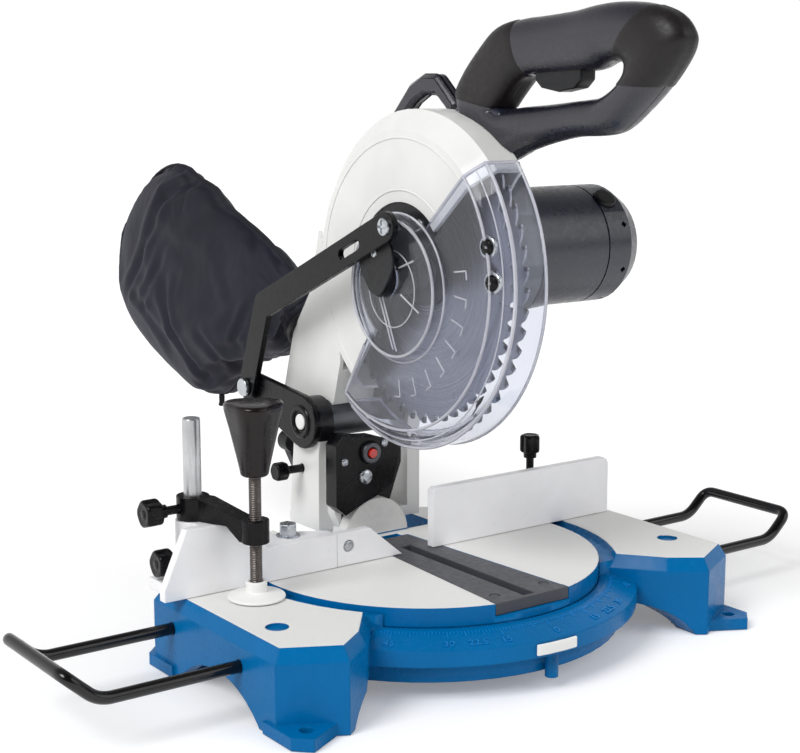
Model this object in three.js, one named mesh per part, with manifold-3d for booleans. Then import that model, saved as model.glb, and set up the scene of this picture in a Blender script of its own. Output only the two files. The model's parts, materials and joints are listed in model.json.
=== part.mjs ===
// Compound mitre saw with a 210 mm blade, shown with the head raised and both
// stock supports drawn out. Millimetres, +Z up, the user stands on the -Y side.
// The origin is on the bench under the middle of the whole machine.
// Inside the saw group, X and Y are measured from the turntable's pivot and
// Z from the machined table top. Blade, handle and motor turn about X axes.
import * as THREE from "three";
import { mergeVertices } from "three/addons/utils/BufferGeometryUtils.js";
import Module from "manifold-3d";

const wasm = await Module();
wasm.setup();

// Driving dimensions of the whole machine
const tableHeight = 55;
const pivotSetback = -107.5;
const tableRadius = 125;
const bladeRadius = 105;
const bladeThickness = 2.4;
const toothCount = 48;
const headLift = 95;
const guardClearance = 7;
const movingGuardClearance = 6.5;

// Clearances that the fits are worked out from
const seatGap = 0.3;
const closeGap = 0.1;
const runningGap = 0.6;
const overrun = 3;
const meshTolerance = 1e-4;

// Chop hinge and blade arbor, as places in the plane of the blade
const hinge = { y: 90, z: 85, pinRadius: 7 };
const arbor = { y: -5, z: bladeRadius + headLift, radius: 8 };

// Gear train from the armature to the arbor
const gears = { module: 1.5, pinionTeeth: 10, wheelTeeth: 47, left: 20, width: 9, margin: 1 };
const motorDirection = 155;

const colours = {
  blue: 0x0d6fb8, white: 0xe9e9e6, black: 0x1c1c1f, steel: 0xb9bcc0,
  dark: 0x6d7075, clear: 0xcfd6dc, grey: 0x55565a, red: 0xc82a1e,
  copper: 0xb06a3a, cloth: 0x24242a,
};
const finishes = {
  paint: [0.4, 0], plastic: [0.55, 0], metal: [0.35, 0.9], glass: [0.1, 0], cloth: [0.95, 0],
};

// How each axis takes an outline: the world directions of its two coordinates
// and of the direction it is drawn out along
const drawnAlong = {
  x: new THREE.Matrix4().makeBasis(unit("y"), unit("z"), unit("x")),
  y: new THREE.Matrix4().makeBasis(unit("x"), unit("z"), unit("y").negate()),
  z: new THREE.Matrix4(),
};
const turnedAbout = {
  x: new THREE.Matrix4().makeBasis(unit("y"), unit("x"), unit("z").negate()),
  y: new THREE.Matrix4(),
  z: new THREE.Matrix4().makeBasis(unit("x"), unit("z"), unit("y").negate()),
};

// A place along X that lies so far outside the turntable's rim. The values of the
// base, fences, supports and clamp that pass through it hold that width.
function outside(width) {
  return tableRadius + width;
}

function unit(axis) {
  return new THREE.Vector3(Number(axis === "x"), Number(axis === "y"), Number(axis === "z"));
}

function radians(degrees) {
  return THREE.MathUtils.degToRad(degrees);
}

// A closed geometry as a manifold solid, without the empty faces at poles
function solid(geometry) {
  const bare = geometry.clone();
  bare.deleteAttribute("normal");
  bare.deleteAttribute("uv");
  const merged = mergeVertices(bare, meshTolerance);
  const corners = merged.index.array;
  const kept = [];
  for (let i = 0; i < corners.length; i += 3) {
    const [a, b, c] = [corners[i], corners[i + 1], corners[i + 2]];
    if (a !== b && b !== c && c !== a) kept.push(a, b, c);
  }
  return new wasm.Manifold(new wasm.Mesh({
    numProp: 3,
    vertProperties: new Float32Array(merged.attributes.position.array),
    triVerts: new Uint32Array(kept),
  }));
}

function join(first, ...others) {
  return others.reduce((sum, other) => sum.add(other), first);
}

function cut(first, ...others) {
  return others.reduce((rest, other) => rest.subtract(other), first);
}

// An outline drawn out along an axis between two places on it. Its points are
// (y, z) along x, (x, z) along y and (x, y) along z.
function prismGeometry(axis, outline, from, to, bevel) {
  const shape = outline instanceof THREE.Shape
    ? outline
    : new THREE.Shape(outline.map(([u, v]) => new THREE.Vector2(u, v)));
  const edge = bevel ?? { size: 0, depth: 0, offset: 0 };
  const geometry = new THREE.ExtrudeGeometry(shape, {
    depth: to - from - 2 * edge.depth,
    bevelEnabled: edge.size > 0,
    bevelSize: edge.size,
    bevelThickness: edge.depth,
    bevelOffset: edge.offset,
    bevelSegments: edge.steps ?? 1,
    curveSegments: 6,
  });
  const start = axis === "y" ? -to : from;
  return geometry.translate(0, 0, start + edge.depth).applyMatrix4(drawnAlong[axis]);
}

function prism(axis, outline, from, to, bevel) {
  return solid(prismGeometry(axis, outline, from, to, bevel));
}

// A profile of (radius, place along the axis) points turned about an axis. It
// runs outwards at its low end; one that starts off the axis is closed here.
function turned(axis, [u, v], profile, sides = 32) {
  const points = profile.map(([radius, place]) => new THREE.Vector2(radius, place));
  if (points[0].x > 0) points.push(points[0].clone());
  const geometry = new THREE.LatheGeometry(points, sides).applyMatrix4(turnedAbout[axis]);
  return solid(geometry.translate(...across(axis, u, v)));
}

function across(axis, u, v) {
  return { x: [0, u, v], y: [u, 0, v], z: [u, v, 0] }[axis];
}

function circle(radius, [u, v] = [0, 0], sides = 24) {
  return Array.from({ length: sides }, (_, i) => polar([u, v], radius, i * 360 / sides));
}

function polar([u, v], radius, degrees) {
  return [u + radius * Math.cos(radians(degrees)), v + radius * Math.sin(radians(degrees))];
}

function arc(centre, radius, from, to, steps) {
  return Array.from({ length: steps + 1 },
    (_, i) => polar(centre, radius, from + (to - from) * i / steps));
}

function rod(axis, at, radius, from, to, sides = 20) {
  return prism(axis, circle(radius, at, sides), from, to);
}

function tube(axis, at, outer, inner, from, to, sides = 24) {
  return cut(rod(axis, at, outer, from, to, sides),
    rod(axis, at, inner, from - overrun, to + overrun, sides));
}

function box([x0, y0, z0], [x1, y1, z1]) {
  return prism("z", [[x0, y0], [x1, y0], [x1, y1], [x0, y1]], z0, z1);
}

// The outline round two circles, as a bar with round ends has
function barOutline([u0, v0], [u1, v1], radius0, radius1, steps = 8) {
  const heading = THREE.MathUtils.radToDeg(Math.atan2(v1 - v0, u1 - u0));
  const taper = THREE.MathUtils.radToDeg(
    Math.asin((radius0 - radius1) / Math.hypot(u1 - u0, v1 - v0)));
  return [
    ...arc([u1, v1], radius1, heading - 90 + taper, heading + 90 - taper, steps),
    ...arc([u0, v0], radius0, heading + 90 - taper, heading + 270 + taper, steps),
  ];
}

// A wedge about a place on the X axis between two directions
function wedge([u, v], radius, from, to, low, high) {
  return prism("x", [[u, v], ...arc([u, v], radius, from, to, 24)], low, high);
}

// A body lofted through stations along X's plane. Each station is an outer and an
// inner point, a half width along X, and how square its rounded section is.
function lofted(stations, middle, closed, sides = 14) {
  const vertices = [];
  for (const { outer, inner, half, square = 2.3 } of stations) {
    const centre = [(outer[0] + inner[0]) / 2, (outer[1] + inner[1]) / 2];
    for (let i = 0; i < sides; i += 1) {
      const [c, s] = polar([0, 0], 1, i * 360 / sides)
        .map((part) => Math.sign(part) * Math.abs(part) ** (2 / square));
      vertices.push(middle + half * s, centre[0] + (outer[0] - centre[0]) * c,
        centre[1] + (outer[1] - centre[1]) * c);
    }
  }
  const corners = [];
  const spans = closed ? stations.length : stations.length - 1;
  for (let k = 0; k < spans; k += 1) {
    const next = (k + 1) % stations.length * sides;
    for (let i = 0; i < sides; i += 1) {
      const [a, b] = [i, (i + 1) % sides];
      corners.push(k * sides + a, k * sides + b, next + b, k * sides + a, next + b, next + a);
    }
  }
  if (!closed) {
    const last = (stations.length - 1) * sides;
    for (let i = 1; i < sides - 1; i += 1) {
      corners.push(0, i + 1, i, last, last + i, last + i + 1);
    }
  }
  const geometry = new THREE.BufferGeometry();
  geometry.setAttribute("position", new THREE.Float32BufferAttribute(vertices, 3));
  geometry.setIndex(corners);
  return solid(geometry);
}

// A sweep of a round section along a path
function wire(curve, radius, steps, sides) {
  const section = new THREE.Shape(circle(radius, [0, 0], sides)
    .map(([u, v]) => new THREE.Vector2(u, v)));
  return new THREE.ExtrudeGeometry(section, { steps, bevelEnabled: false, extrudePath: curve });
}

// Straight runs through the corners, each corner rounded by the given radius
function roundedPath(corners, bend) {
  const path = new THREE.CurvePath();
  const at = corners.map((corner) => new THREE.Vector3(...corner));
  let start = at[0];
  for (let i = 1; i < at.length - 1; i += 1) {
    const before = at[i].clone().add(at[i - 1].clone().sub(at[i]).setLength(bend));
    const after = at[i].clone().add(at[i + 1].clone().sub(at[i]).setLength(bend));
    path.add(new THREE.LineCurve3(start, before));
    path.add(new THREE.QuadraticBezierCurve3(before, at[i], after));
    start = after;
  }
  path.add(new THREE.LineCurve3(start, at[at.length - 1]));
  return path;
}

function toGeometry(manifold) {
  const { vertProperties, triVerts } = manifold.getMesh();
  const geometry = new THREE.BufferGeometry();
  geometry.setAttribute("position", new THREE.BufferAttribute(vertProperties, 3));
  geometry.setIndex(new THREE.BufferAttribute(triVerts, 1));
  return geometry;
}

const saw = new THREE.Group();
saw.position.set(0, pivotSetback, tableHeight);

function add(name, manifold, colour, finish) {
  const [roughness, metalness] = finishes[finish];
  const material = new THREE.MeshStandardMaterial({ color: colours[colour], roughness, metalness });
  const mesh = new THREE.Mesh(toGeometry(manifold), material);
  mesh.name = name;
  saw.add(mesh);
}

// Points given as shares of a width and a height from a corner
function placed([u, v], [width, height], shares) {
  return shares.map(([across, up]) => [u + across * width, v + up * height]);
}

// Stock supports: bent round bar, drawn out to the photographed reach
const bar = {
  radius: 4, rearLeg: 16, frontLeg: -70, depth: -22, inner: 5, kink: 161,
  reach: 181, rise: 18, bend: 9, steps: 40, sides: 8,
};

function supportBar(side) {
  const low = bar.depth;
  const high = bar.depth + bar.rise;
  const path = roundedPath([
    [side * outside(bar.inner), bar.rearLeg, low], [side * outside(bar.kink), bar.rearLeg, low],
    [side * outside(bar.reach), bar.rearLeg, high], [side * outside(bar.reach), bar.frontLeg, high],
    [side * outside(bar.kink), bar.frontLeg, low], [side * outside(bar.inner), bar.frontLeg, low],
  ], bar.bend);
  return solid(wire(path, bar.radius, bar.steps, bar.sides));
}

// Base casting: two raised wings, a low apron between them and a floor
const base = {
  halfWidth: 62, rearEdge: 36, sideCorner: -109, noseX: 28, noseY: -127,
  mouthX: 7, mouthY: -112, throatY: -84,
  shoulder: 5, shoulderDrop: 9, stepWidth: 13, stepDrop: 4, stepDepth: 22,
  wall: 9, topSkin: 9, hollowFrom: 10, hollowTo: -30, lugHeight: 8, boltHole: 4.5,
  apronWidth: 27, apronTop: -13, apronSlope: -19, apronBottom: -30, apronSpan: 60,
  floorTop: -38, floorDepth: 6, floorWidth: 15, floorRear: 72, bossRadius: 22, bossTop: -22,
  archRadius: 44, archX: -17, archCrown: -33, archRear: -57, sideArchRadius: 70,
  sideArchY: -42, stubRadius: 4.5, stubX: -4, stubInset: 7, stubBottom: -47,
  pocketX: 43, pocketY: -76, pocketRadius: 7.5, pocketDepth: 1.6,
};
const lug = {
  inner: 25, outer: 69, frontRear: -100, frontInner: -124, tip: -142, corner: 10,
  holeX: 55, holeY: -127, rearFront: 14, rearEnd: 56, rearHoleY: 47,
};
const far = 2 * outside(base.halfWidth);
const apronRadius = tableRadius + base.apronWidth;
const floorRadius = tableRadius + base.floorWidth;

function baseWingOutline() {
  const inner = tableRadius + base.stepWidth;
  const rear = THREE.MathUtils.radToDeg(Math.asin(base.rearEdge / inner));
  const front = THREE.MathUtils.radToDeg(Math.asin(base.throatY / inner));
  return [
    [outside(base.halfWidth), base.rearEdge], ...arc([0, 0], inner, rear, front, 8),
    [outside(base.mouthX), base.mouthY], [outside(base.noseX), base.noseY],
      [outside(base.halfWidth), base.sideCorner],
  ];
}

function baseHollowOutline() {
  const inner = tableRadius + base.stepWidth + base.wall;
  const outer = outside(base.halfWidth) + base.shoulder - base.wall;
  return [
    [outer, base.rearEdge - base.wall],
    ...arc([0, 0], inner, base.hollowFrom, base.hollowTo, 6),
    [outside(base.mouthX) + base.wall, base.mouthY + base.wall],
    [outside(base.noseX), base.noseY + base.wall], [outer, base.sideCorner + base.shoulder],
  ];
}

// Wings and lugs are drawn for the right side and mirrored for the left
function sided(side, outline) {
  return side > 0 ? outline.toReversed() : outline.map(([x, y]) => [-x, y]);
}

function baseLugs(side) {
  const front = [
    [outside(lug.inner), lug.frontRear], [outside(lug.inner), lug.frontInner],
    [outside(lug.outer) - lug.corner, lug.tip],
    [outside(lug.outer), lug.tip + lug.corner], [outside(lug.outer), lug.frontRear],
  ];
  const rear = [
    [outside(lug.inner), lug.rearEnd], [outside(lug.inner), lug.rearFront],
      [outside(lug.outer), lug.rearFront],
    [outside(lug.outer), lug.rearEnd - lug.corner], [outside(lug.outer) - lug.corner, lug.rearEnd],
  ];
  return [front, rear].map((outline) => prism("z", sided(-side, outline.map(([x, y]) => [-x, y])),
    -tableHeight, base.lugHeight - tableHeight));
}

function baseWing(side) {
  const outline = sided(side, baseWingOutline());
  const edge = { size: base.shoulder, depth: base.shoulderDrop, offset: 0 };
  const body = prism("z", outline, -tableHeight - 2 * base.shoulderDrop, 0, edge);
  const below = box([-far, -far, -2 * tableHeight], [far, far, -tableHeight]);
  const hollow = prism("z", sided(side, baseHollowOutline()), -tableHeight - overrun,
    -base.topSkin);
  return cut(body, below, hollow);
}

function baseStep(side) {
  const outer = tableRadius + base.stepWidth + base.shoulder;
  const sector = sided(side, [[0, base.rearEdge], [0, base.throatY], [far, base.throatY],
    [far, base.rearEdge]].toReversed());
  return tube("z", [0, 0], outer, tableRadius + runningGap, -base.stepDepth, -base.stepDrop, 72)
    .intersect(prism("z", sector, -tableHeight, 0));
}

function baseApron() {
  const bore = tableRadius + runningGap;
  const section = [
    [bore, base.apronBottom], [apronRadius, base.apronBottom],
    [apronRadius, base.apronSlope], [bore + base.shoulder, base.apronTop],
    [bore, base.apronTop],
  ];
  const span = base.apronSpan;
  const front = prism("z", [[0, 0], ...arc([0, 0], far, -90 - span, -90 + span, 12)],
    -tableHeight, 0);
  const wall = tube("z", [0, 0], floorRadius, bore + base.shoulder,
    base.floorTop - base.floorDepth, base.apronTop - base.shoulder, 64);
  const stub = rod("z", [base.stubX, base.stubInset - apronRadius], base.stubRadius, base.stubBottom,
    base.apronBottom + base.shoulder, 12);
  return join(turned("z", [0, 0], section, 72).intersect(front), wall.intersect(front), stub);
}

function baseFloor() {
  const disc = rod("z", [0, 0], floorRadius, base.floorTop - base.floorDepth,
    base.floorTop, 64);
  const rear = box([-far, base.floorRear, -tableHeight], [far, far, 0]);
  const boss = rod("z", [0, 0], base.bossRadius, base.floorTop - base.floorDepth,
    base.bossTop, 32);
  return join(cut(disc, rear), boss);
}

function baseArches(side) {
  const front = [side * outside(base.archX), base.archCrown - base.archRadius];
  const flank = [base.sideArchY, base.archCrown - base.sideArchRadius];
  return [
    rod("y", front, base.archRadius, base.noseY - 2 * base.wall, base.archRear, 40),
    rod("x", flank, base.sideArchRadius, -far, far, 48),
  ];
}

function along(side, near, reach) {
  return side > 0 ? [near, reach] : [-reach, -near];
}

function baseCasting() {
  let casting = join(baseFloor(), baseApron());
  for (const side of [-1, 1]) {
    const guides = [bar.rearLeg, bar.frontLeg].map((y) => rod("x", [y, bar.depth],
      bar.radius + base.shoulder, ...along(side, outside(bar.inner), outside(base.halfWidth)), 12));
    const wing = cut(join(baseWing(side), baseStep(side)), ...baseArches(side));
    casting = join(casting, wing, ...guides, ...baseLugs(side));
  }
  return cut(casting, ...baseHoles());
}

function baseHoles() {
  const holes = [rod("z", [0, 0], pivotBolt.shank + seatGap, -tableHeight, overrun, 16)];
  const screws = [
    [outside(fenceBolt.right), fenceBolt.y, fenceBolt.shank, fenceBolt.bottom],
    [-outside(fenceBolt.left), fenceBolt.y, fenceBolt.shank, fenceBolt.bottom],
  ];
  for (const [x, y, radius, bottom] of screws) {
    holes.push(rod("z", [x, y], radius + seatGap, bottom - overrun, overrun, 12));
  }
  for (const side of [-1, 1]) {
    holes.push(rod("z", [side * outside(base.pocketX), base.pocketY], base.pocketRadius,
      -base.pocketDepth, overrun, 20));
    for (const y of [bar.rearLeg, bar.frontLeg]) {
      holes.push(rod("x", [y, bar.depth], bar.radius + seatGap,
        ...along(side, tableRadius / 2, far), 12));
    }
    for (const y of [lug.holeY, lug.rearHoleY]) {
      holes.push(rod("z", [side * outside(lug.holeX), y], base.boltHole, -tableHeight - overrun,
        base.lugHeight - tableHeight + overrun, 12));
    }
  }
  return holes;
}

// Blank plate on the apron's front, where the mitre scale is read
const indexPlate = { left: -22, right: 10, bottom: -28, top: -20.5, thickness: 2 };

function mitreIndexPlate() {
  const inner = apronRadius + seatGap;
  const ring = tube("z", [0, 0], inner + indexPlate.thickness, inner, indexPlate.bottom,
    indexPlate.top, 72);
  return ring.intersect(box([indexPlate.left, -far, -tableHeight], [indexPlate.right, 0, 0]));
}

// Turntable: a disc with a stepped bed for the insert and a rear tilt flange
const table = {
  depth: 13, notchHalf: 56, notchFront: 57, slotHalf: 14, slotInset: 13, slotRear: 50,
  blockHalf: 24, blockFront: 24, blockBottom: -34, hubRadius: 21,
};
const insert = {
  rearHalf: 19.5, frontHalf: 31, inset: 4, rear: 44, depth: 6, lipDepth: 8,
  kerfHalf: 4.5, kerfInset: 8, kerfRear: 20,
};
const insertFront = insert.inset - tableRadius;
const insertScrew = { left: -20, right: 23, leftInset: 15, rightInset: 16, head: 3.2, headDepth: 2,
  shank: 1.6, length: 9, sunk: 0.4 };
const insertScrewPlaces = [[insertScrew.left, insertFront + insertScrew.leftInset],
  [insertScrew.right, insertFront + insertScrew.rightInset]];
const tilt = {
  flangeFront: 56, flangeRear: 66, flangeRadius: 28, boltRadius: 5.5, boltFront: 58,
  boltRear: 121, discRadius: 26, hubRadius: 16, plateFront: 66.5, plateRear: 76, rear: 116,
  plateTop: 62, plateShoulder: 18, webBottom: 4, webTop: 12, cheekRadius: 18,
  leftOuter: -38, leftInner: -26, rightInner: 42, rightOuter: 54, plateLeft: -30,
  plateRight: 30, plateSlope: 12,
};
const pivotBolt = { shank: 5, head: 9, headBottom: -18.7, top: -15, bottom: -50 };

function insertOutline(margin) {
  const front = insertFront - 4 * margin;
  return [
    [-insert.rearHalf - margin, insert.rear + margin], [-insert.frontHalf - margin, front],
    [insert.frontHalf + margin, front], [insert.rearHalf + margin, insert.rear + margin],
  ];
}

function turntable() {
  const centre = [0, 0];
  const disc = rod("z", centre, tableRadius, -table.depth, 0, 72);
  const notch = box([-table.notchHalf, table.notchFront, -table.depth - overrun],
    [table.notchHalf, tableRadius + overrun, overrun]);
  const slot = box([-table.slotHalf, table.slotInset - tableRadius, -table.depth - overrun],
    [table.slotHalf, table.slotRear, overrun]);
  const bed = prism("z", insertOutline(seatGap), -insert.depth - seatGap, overrun);
  const lip = box([-insert.frontHalf - seatGap, -tableRadius - overrun, -insert.lipDepth - seatGap],
    [insert.frontHalf + seatGap, insertFront + insert.depth + seatGap, overrun]);
  const hub = rod("z", centre, table.hubRadius, base.bossTop + seatGap, -table.depth + seatGap, 32);
  const block = box([-table.blockHalf, table.blockFront, table.blockBottom],
    [table.blockHalf, tilt.flangeRear, -table.depth + seatGap]);
  const flange = rod("y", centre, tilt.flangeRadius, tilt.flangeFront, tilt.flangeRear, 40);
  const screwHoles = insertScrewPlaces.map((place) => rod("z", place,
    insertScrew.shank + seatGap, -insertScrew.length - overrun, overrun, 10));
  return cut(
    join(cut(disc, notch, slot, bed, lip), hub, block, flange),
    rod("z", centre, pivotBolt.shank + seatGap, -tableHeight, overrun, 16),
    rod("z", centre, pivotBolt.head + seatGap, pivotBolt.headBottom - seatGap, overrun, 24),
    rod("y", centre, tilt.boltRadius + seatGap, tilt.boltFront - seatGap,
      tilt.flangeRear + overrun, 16),
    ...screwHoles,
  );
}

function kerfInsert() {
  const plate = prism("z", insertOutline(0), -insert.depth, 0);
  const lip = box([-insert.frontHalf, insertFront, -insert.lipDepth],
    [insert.frontHalf, insertFront + insert.depth, 0]);
  const kerf = box([-insert.kerfHalf, insert.kerfInset - tableRadius, -insert.lipDepth - overrun],
    [insert.kerfHalf, insert.kerfRear, overrun]);
  const holes = insertScrewPlaces.flatMap((place) => [
    rod("z", place, insertScrew.shank + seatGap, -tableHeight, overrun, 10),
    rod("z", place, insertScrew.head + seatGap,
      -insertScrew.headDepth - insertScrew.sunk - seatGap, overrun, 16),
  ]);
  return cut(join(plate, lip), kerf, ...holes);
}

// A screw with a round or six-sided head, its axis along the given axis
function screw(axis, at, shank, from, to, head, headFrom, headTo, sides = 6) {
  return join(rod(axis, at, shank, from, to, 12), rod(axis, at, head, headFrom, headTo, sides));
}

function insertScrewPiece(place) {
  const top = -insertScrew.sunk;
  return screw("z", place, insertScrew.shank, -insertScrew.length, top, insertScrew.head,
    top - insertScrew.headDepth, top, 16);
}

// Fences: upright faces on the wings, bridging over the turntable
const fence = {
  face: 4, thickness: 7, height: 44, inner: 13, outer: 58, corner: 5,
  flangeRear: 40, flangeHeight: 8, ribWidth: 5, leftOuter: 78, leftHeight: 46,
  leftStep: 61, leftShoulder: 25, lowEdge: 0, lowHeight: 24, blockRear: 31,
  blockTaper: 24, blockEnd: 17, wingEdge: -1, lip: 14, endJoint: -70, endTip: -14,
  endCrown: -42,
};
const fenceBolt = { right: 33, left: 17, y: 30, shank: 3, head: 6.5, headHeight: 5, bottom: -6 };
const blockBolt = { x: -26, y: 21, shank: 3, head: 6.5, bottom: 8, seat: 24.3, top: 33 };
const endBolt = { x: -60, z: 14, shank: 1.6, head: 4, headFront: 4.4, headRear: 6.4, rear: 10.4 };
const tableKnob = { x: 16, y: 48, shank: 3, bottom: 4, neck: 41, neckRadius: 5, grip: 45,
  top: 59, radius: 8.5, boss: 9, bossTop: 18 };

function fenceRight() {
  const top = fence.height;
  const face = prism("y", [
    [fence.inner, seatGap], [outside(fence.outer), seatGap], [outside(fence.outer), top - fence.corner],
    [outside(fence.outer) - fence.corner / 3, top - fence.corner / 3],
      [outside(fence.outer) - fence.corner, top],
    [fence.inner + fence.corner / 2, top], [fence.inner, top - fence.corner / 2],
  ], fence.face, fence.face + fence.thickness);
  const flange = box([outside(fence.wingEdge), fence.face, seatGap],
    [outside(fence.outer) - fence.corner, fence.flangeRear, fence.flangeHeight]);
  const lip = box([fence.inner + fence.corner, fence.face, seatGap],
    [outside(fence.outer) - fence.corner, fence.lip, fence.flangeHeight]);
  const behind = fence.face + fence.thickness - seatGap;
  const ribShape = [[behind, seatGap], [fence.flangeRear - fence.corner, fence.flangeHeight],
    [behind, top - 2 * fence.corner]];
  const ribs = [outside(fence.wingEdge) + 3 * fence.corner, outside(fence.outer) - 3 * fence.corner]
    .map((x) => prism("x", ribShape, x, x + fence.ribWidth));
  const boss = join(
    rod("z", [outside(tableKnob.x), tableKnob.y], tableKnob.boss, seatGap, tableKnob.bossTop, 20),
    box([outside(tableKnob.x) - tableKnob.boss, fence.flangeRear - fence.corner, seatGap],
      [outside(tableKnob.x) + tableKnob.boss, tableKnob.y, fence.flangeHeight]),
  );
  return cut(join(face, flange, lip, boss, ...ribs),
    rod("z", [outside(fenceBolt.right), fenceBolt.y], fenceBolt.shank + seatGap, -overrun,
      2 * fence.flangeHeight, 12),
    rod("z", [outside(tableKnob.x), tableKnob.y], tableKnob.shank + seatGap,
      tableKnob.bottom - seatGap, 2 * tableKnob.bossTop, 12));
}

// Work clamp on its column, in a socket at the left end of the fence
const clamp = {
  columnX: 43, columnY: 28, columnRadius: 6, columnBottom: 5, columnTop: 114,
  socketRadius: 12, socketFloor: 4, screwX: 24, screwY: -20, armRoot: 11, armTip: 9,
  armBottom: 46.5, armTop: 62, armDrop: 9, topStart: 17, topEnd: -11, dropStart: -4, dropEnd: -14,
  armWeb: 6,
  screwRadius: 4.2, padRadius: 19, padBottom: 0.6, padRim: 2.5, padTop: 5, padNeck: 7,
  neckTop: 12, screwFoot: 6.5, knobBottom: 82, knobTop: 130, knobRadius: 20.5, knobWaist: 9,
  screwTop: 98,
};
const lockKnob = { shank: 3, tipGap: 1, neck: 4.5, gripStart: 17, gripLength: 12,
  radius: 9.5, lobes: 5, columnHeight: 19, armHeight: 54, armReach: 8 };

function fenceLeft() {
  const rise = fence.leftHeight;
  const face = prism("y", [
    [-outside(fence.leftOuter), seatGap], [fence.endJoint, seatGap], [fence.endJoint, fence.lowHeight],
    [-outside(fence.lowEdge), fence.lowHeight], [-outside(fence.leftShoulder), rise],
      [-outside(fence.leftStep), rise],
    [-outside(fence.leftOuter), fence.flangeHeight],
  ], fence.face, fence.face + fence.thickness);
  const taper = fence.endJoint - fence.blockTaper;
  const block = prism("z", [
    [-outside(fence.lowEdge), fence.face], [fence.endJoint, fence.face], [fence.endJoint, fence.blockEnd],
    [taper, fence.blockRear], [-outside(fence.lowEdge), fence.blockRear],
  ], seatGap, fence.lowHeight);
  const hollow = box([-outside(fence.lowEdge) + fence.thickness, fence.blockEnd + fence.thickness,
    -overrun],
    [fence.endJoint, 2 * fence.blockRear, fence.lowHeight - fence.thickness]);
  const flange = box([-outside(fence.leftOuter) + fence.thickness, fence.face, seatGap],
    [-outside(fence.lowEdge) + seatGap, fence.flangeRear, fence.flangeHeight]);
  const column = [-outside(clamp.columnX), clamp.columnY];
  const half = clamp.socketRadius / 2;
  const web = box([-outside(clamp.columnX) - half, fence.face, seatGap],
    [-outside(clamp.columnX) + half, clamp.columnY, rise]);
  return cut(
    join(face, cut(block, hollow), flange, web,
      rod("z", column, clamp.socketRadius, seatGap, rise, 24)),
    rod("z", column, clamp.columnRadius + seatGap, clamp.socketFloor, rise + overrun, 20),
    rod("x", [clamp.columnY, lockKnob.columnHeight], lockKnob.shank + seatGap,
      -outside(clamp.columnX) - 2 * clamp.socketRadius, -outside(clamp.columnX), 12),
    rod("z", [-outside(fenceBolt.left), fenceBolt.y], fenceBolt.shank + seatGap, -overrun,
      2 * fence.flangeHeight, 12),
    rod("z", [-outside(blockBolt.x), blockBolt.y], blockBolt.shank + seatGap, blockBolt.bottom - seatGap,
      2 * fence.lowHeight, 12),
  );
}

// The loose end of the left fence, screwed on beside the kerf
function fenceEndPiece() {
  const piece = prism("y", [
    [fence.endJoint + seatGap, seatGap], [fence.endTip, seatGap],
    [fence.endCrown, fence.lowHeight], [fence.endJoint + seatGap, fence.lowHeight],
  ], fence.face, fence.face + fence.thickness);
  const at = [endBolt.x, endBolt.z];
  return cut(piece,
    rod("y", at, endBolt.head + seatGap, 0, endBolt.headRear + seatGap, 16),
    rod("y", at, endBolt.shank + seatGap, 0, endBolt.rear + seatGap, 12));
}

// A knob with round lobes, wide at its top and tapering down to its waist
const lobeDepthShare = 0.13;
const knobShares = [[0, 0], [0.12, 0.067], [0.45, 0.167], [0.8, 0.875], [0.93, 1], [1, 0.75]];
const gripEdgeShare = 1 / 6;

function lobedKnob(axis, at, lobes, waist, radius, from, to, sides = 24) {
  const vertices = [];
  const corners = [];
  for (const [share, grown] of knobShares) {
    const reach = waist + (radius - waist) * grown;
    for (let i = 0; i < sides; i += 1) {
      const turn = i * 360 / sides;
      const lobe = 1 - lobeDepthShare * grown * (1 - Math.cos(radians(lobes * turn))) / 2;
      vertices.push(...polar([0, 0], reach * lobe, turn), from + (to - from) * share);
    }
  }
  for (let layer = 0; layer < knobShares.length - 1; layer += 1) {
    for (let i = 0; i < sides; i += 1) {
      const [a, b] = [layer * sides + i, layer * sides + (i + 1) % sides];
      corners.push(a, b, b + sides, a, b + sides, a + sides);
    }
  }
  const low = vertices.length / 3;
  vertices.push(0, 0, from, 0, 0, to);
  const lastLayer = (knobShares.length - 1) * sides;
  for (let i = 0; i < sides; i += 1) {
    const next = (i + 1) % sides;
    corners.push(low, next, i, low + 1, lastLayer + i, lastLayer + next);
  }
  const geometry = new THREE.BufferGeometry();
  geometry.setAttribute("position", new THREE.Float32BufferAttribute(vertices, 3));
  geometry.setIndex(corners);
  return solid(geometry.applyMatrix4(drawnAlong[axis]).translate(...across(axis, ...at)));
}

function tableLockKnob() {
  const at = [outside(tableKnob.x), tableKnob.y];
  return join(rod("z", at, tableKnob.shank, tableKnob.bottom, tableKnob.grip, 12),
    rod("z", at, tableKnob.neckRadius, tableKnob.neck, tableKnob.grip, 16),
    starGrip("z", at, tableKnob.radius, tableKnob.grip - seatGap, tableKnob.top));
}

// A short star grip with rounded edges, as on the small locking knobs
function starGrip(axis, at, radius, from, to) {
  const sides = 30;
  const rim = Array.from({ length: sides }, (_, i) => {
    const turn = i * 360 / sides;
    const lobe = 1 - lobeDepthShare * (1 - Math.cos(radians(lockKnob.lobes * turn))) / 2;
    return polar(at, radius * lobe, turn);
  });
  const edge = { size: radius * gripEdgeShare, depth: (to - from) * gripEdgeShare,
    offset: -radius * gripEdgeShare };
  return prism(axis, rim, from, to, edge);
}

function sideLockKnob(height, stop) {
  const at = [clamp.columnY, height];
  const inner = -outside(clamp.columnX) - clamp.columnRadius - lockKnob.tipGap;
  const start = -outside(clamp.columnX) - lockKnob.gripStart - stop;
  return join(rod("x", at, lockKnob.shank, start - seatGap, inner, 12),
    rod("x", at, lockKnob.neck, start - seatGap, start + lockKnob.neck, 16),
    starGrip("x", at, lockKnob.radius, start - lockKnob.gripLength, start));
}

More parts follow.
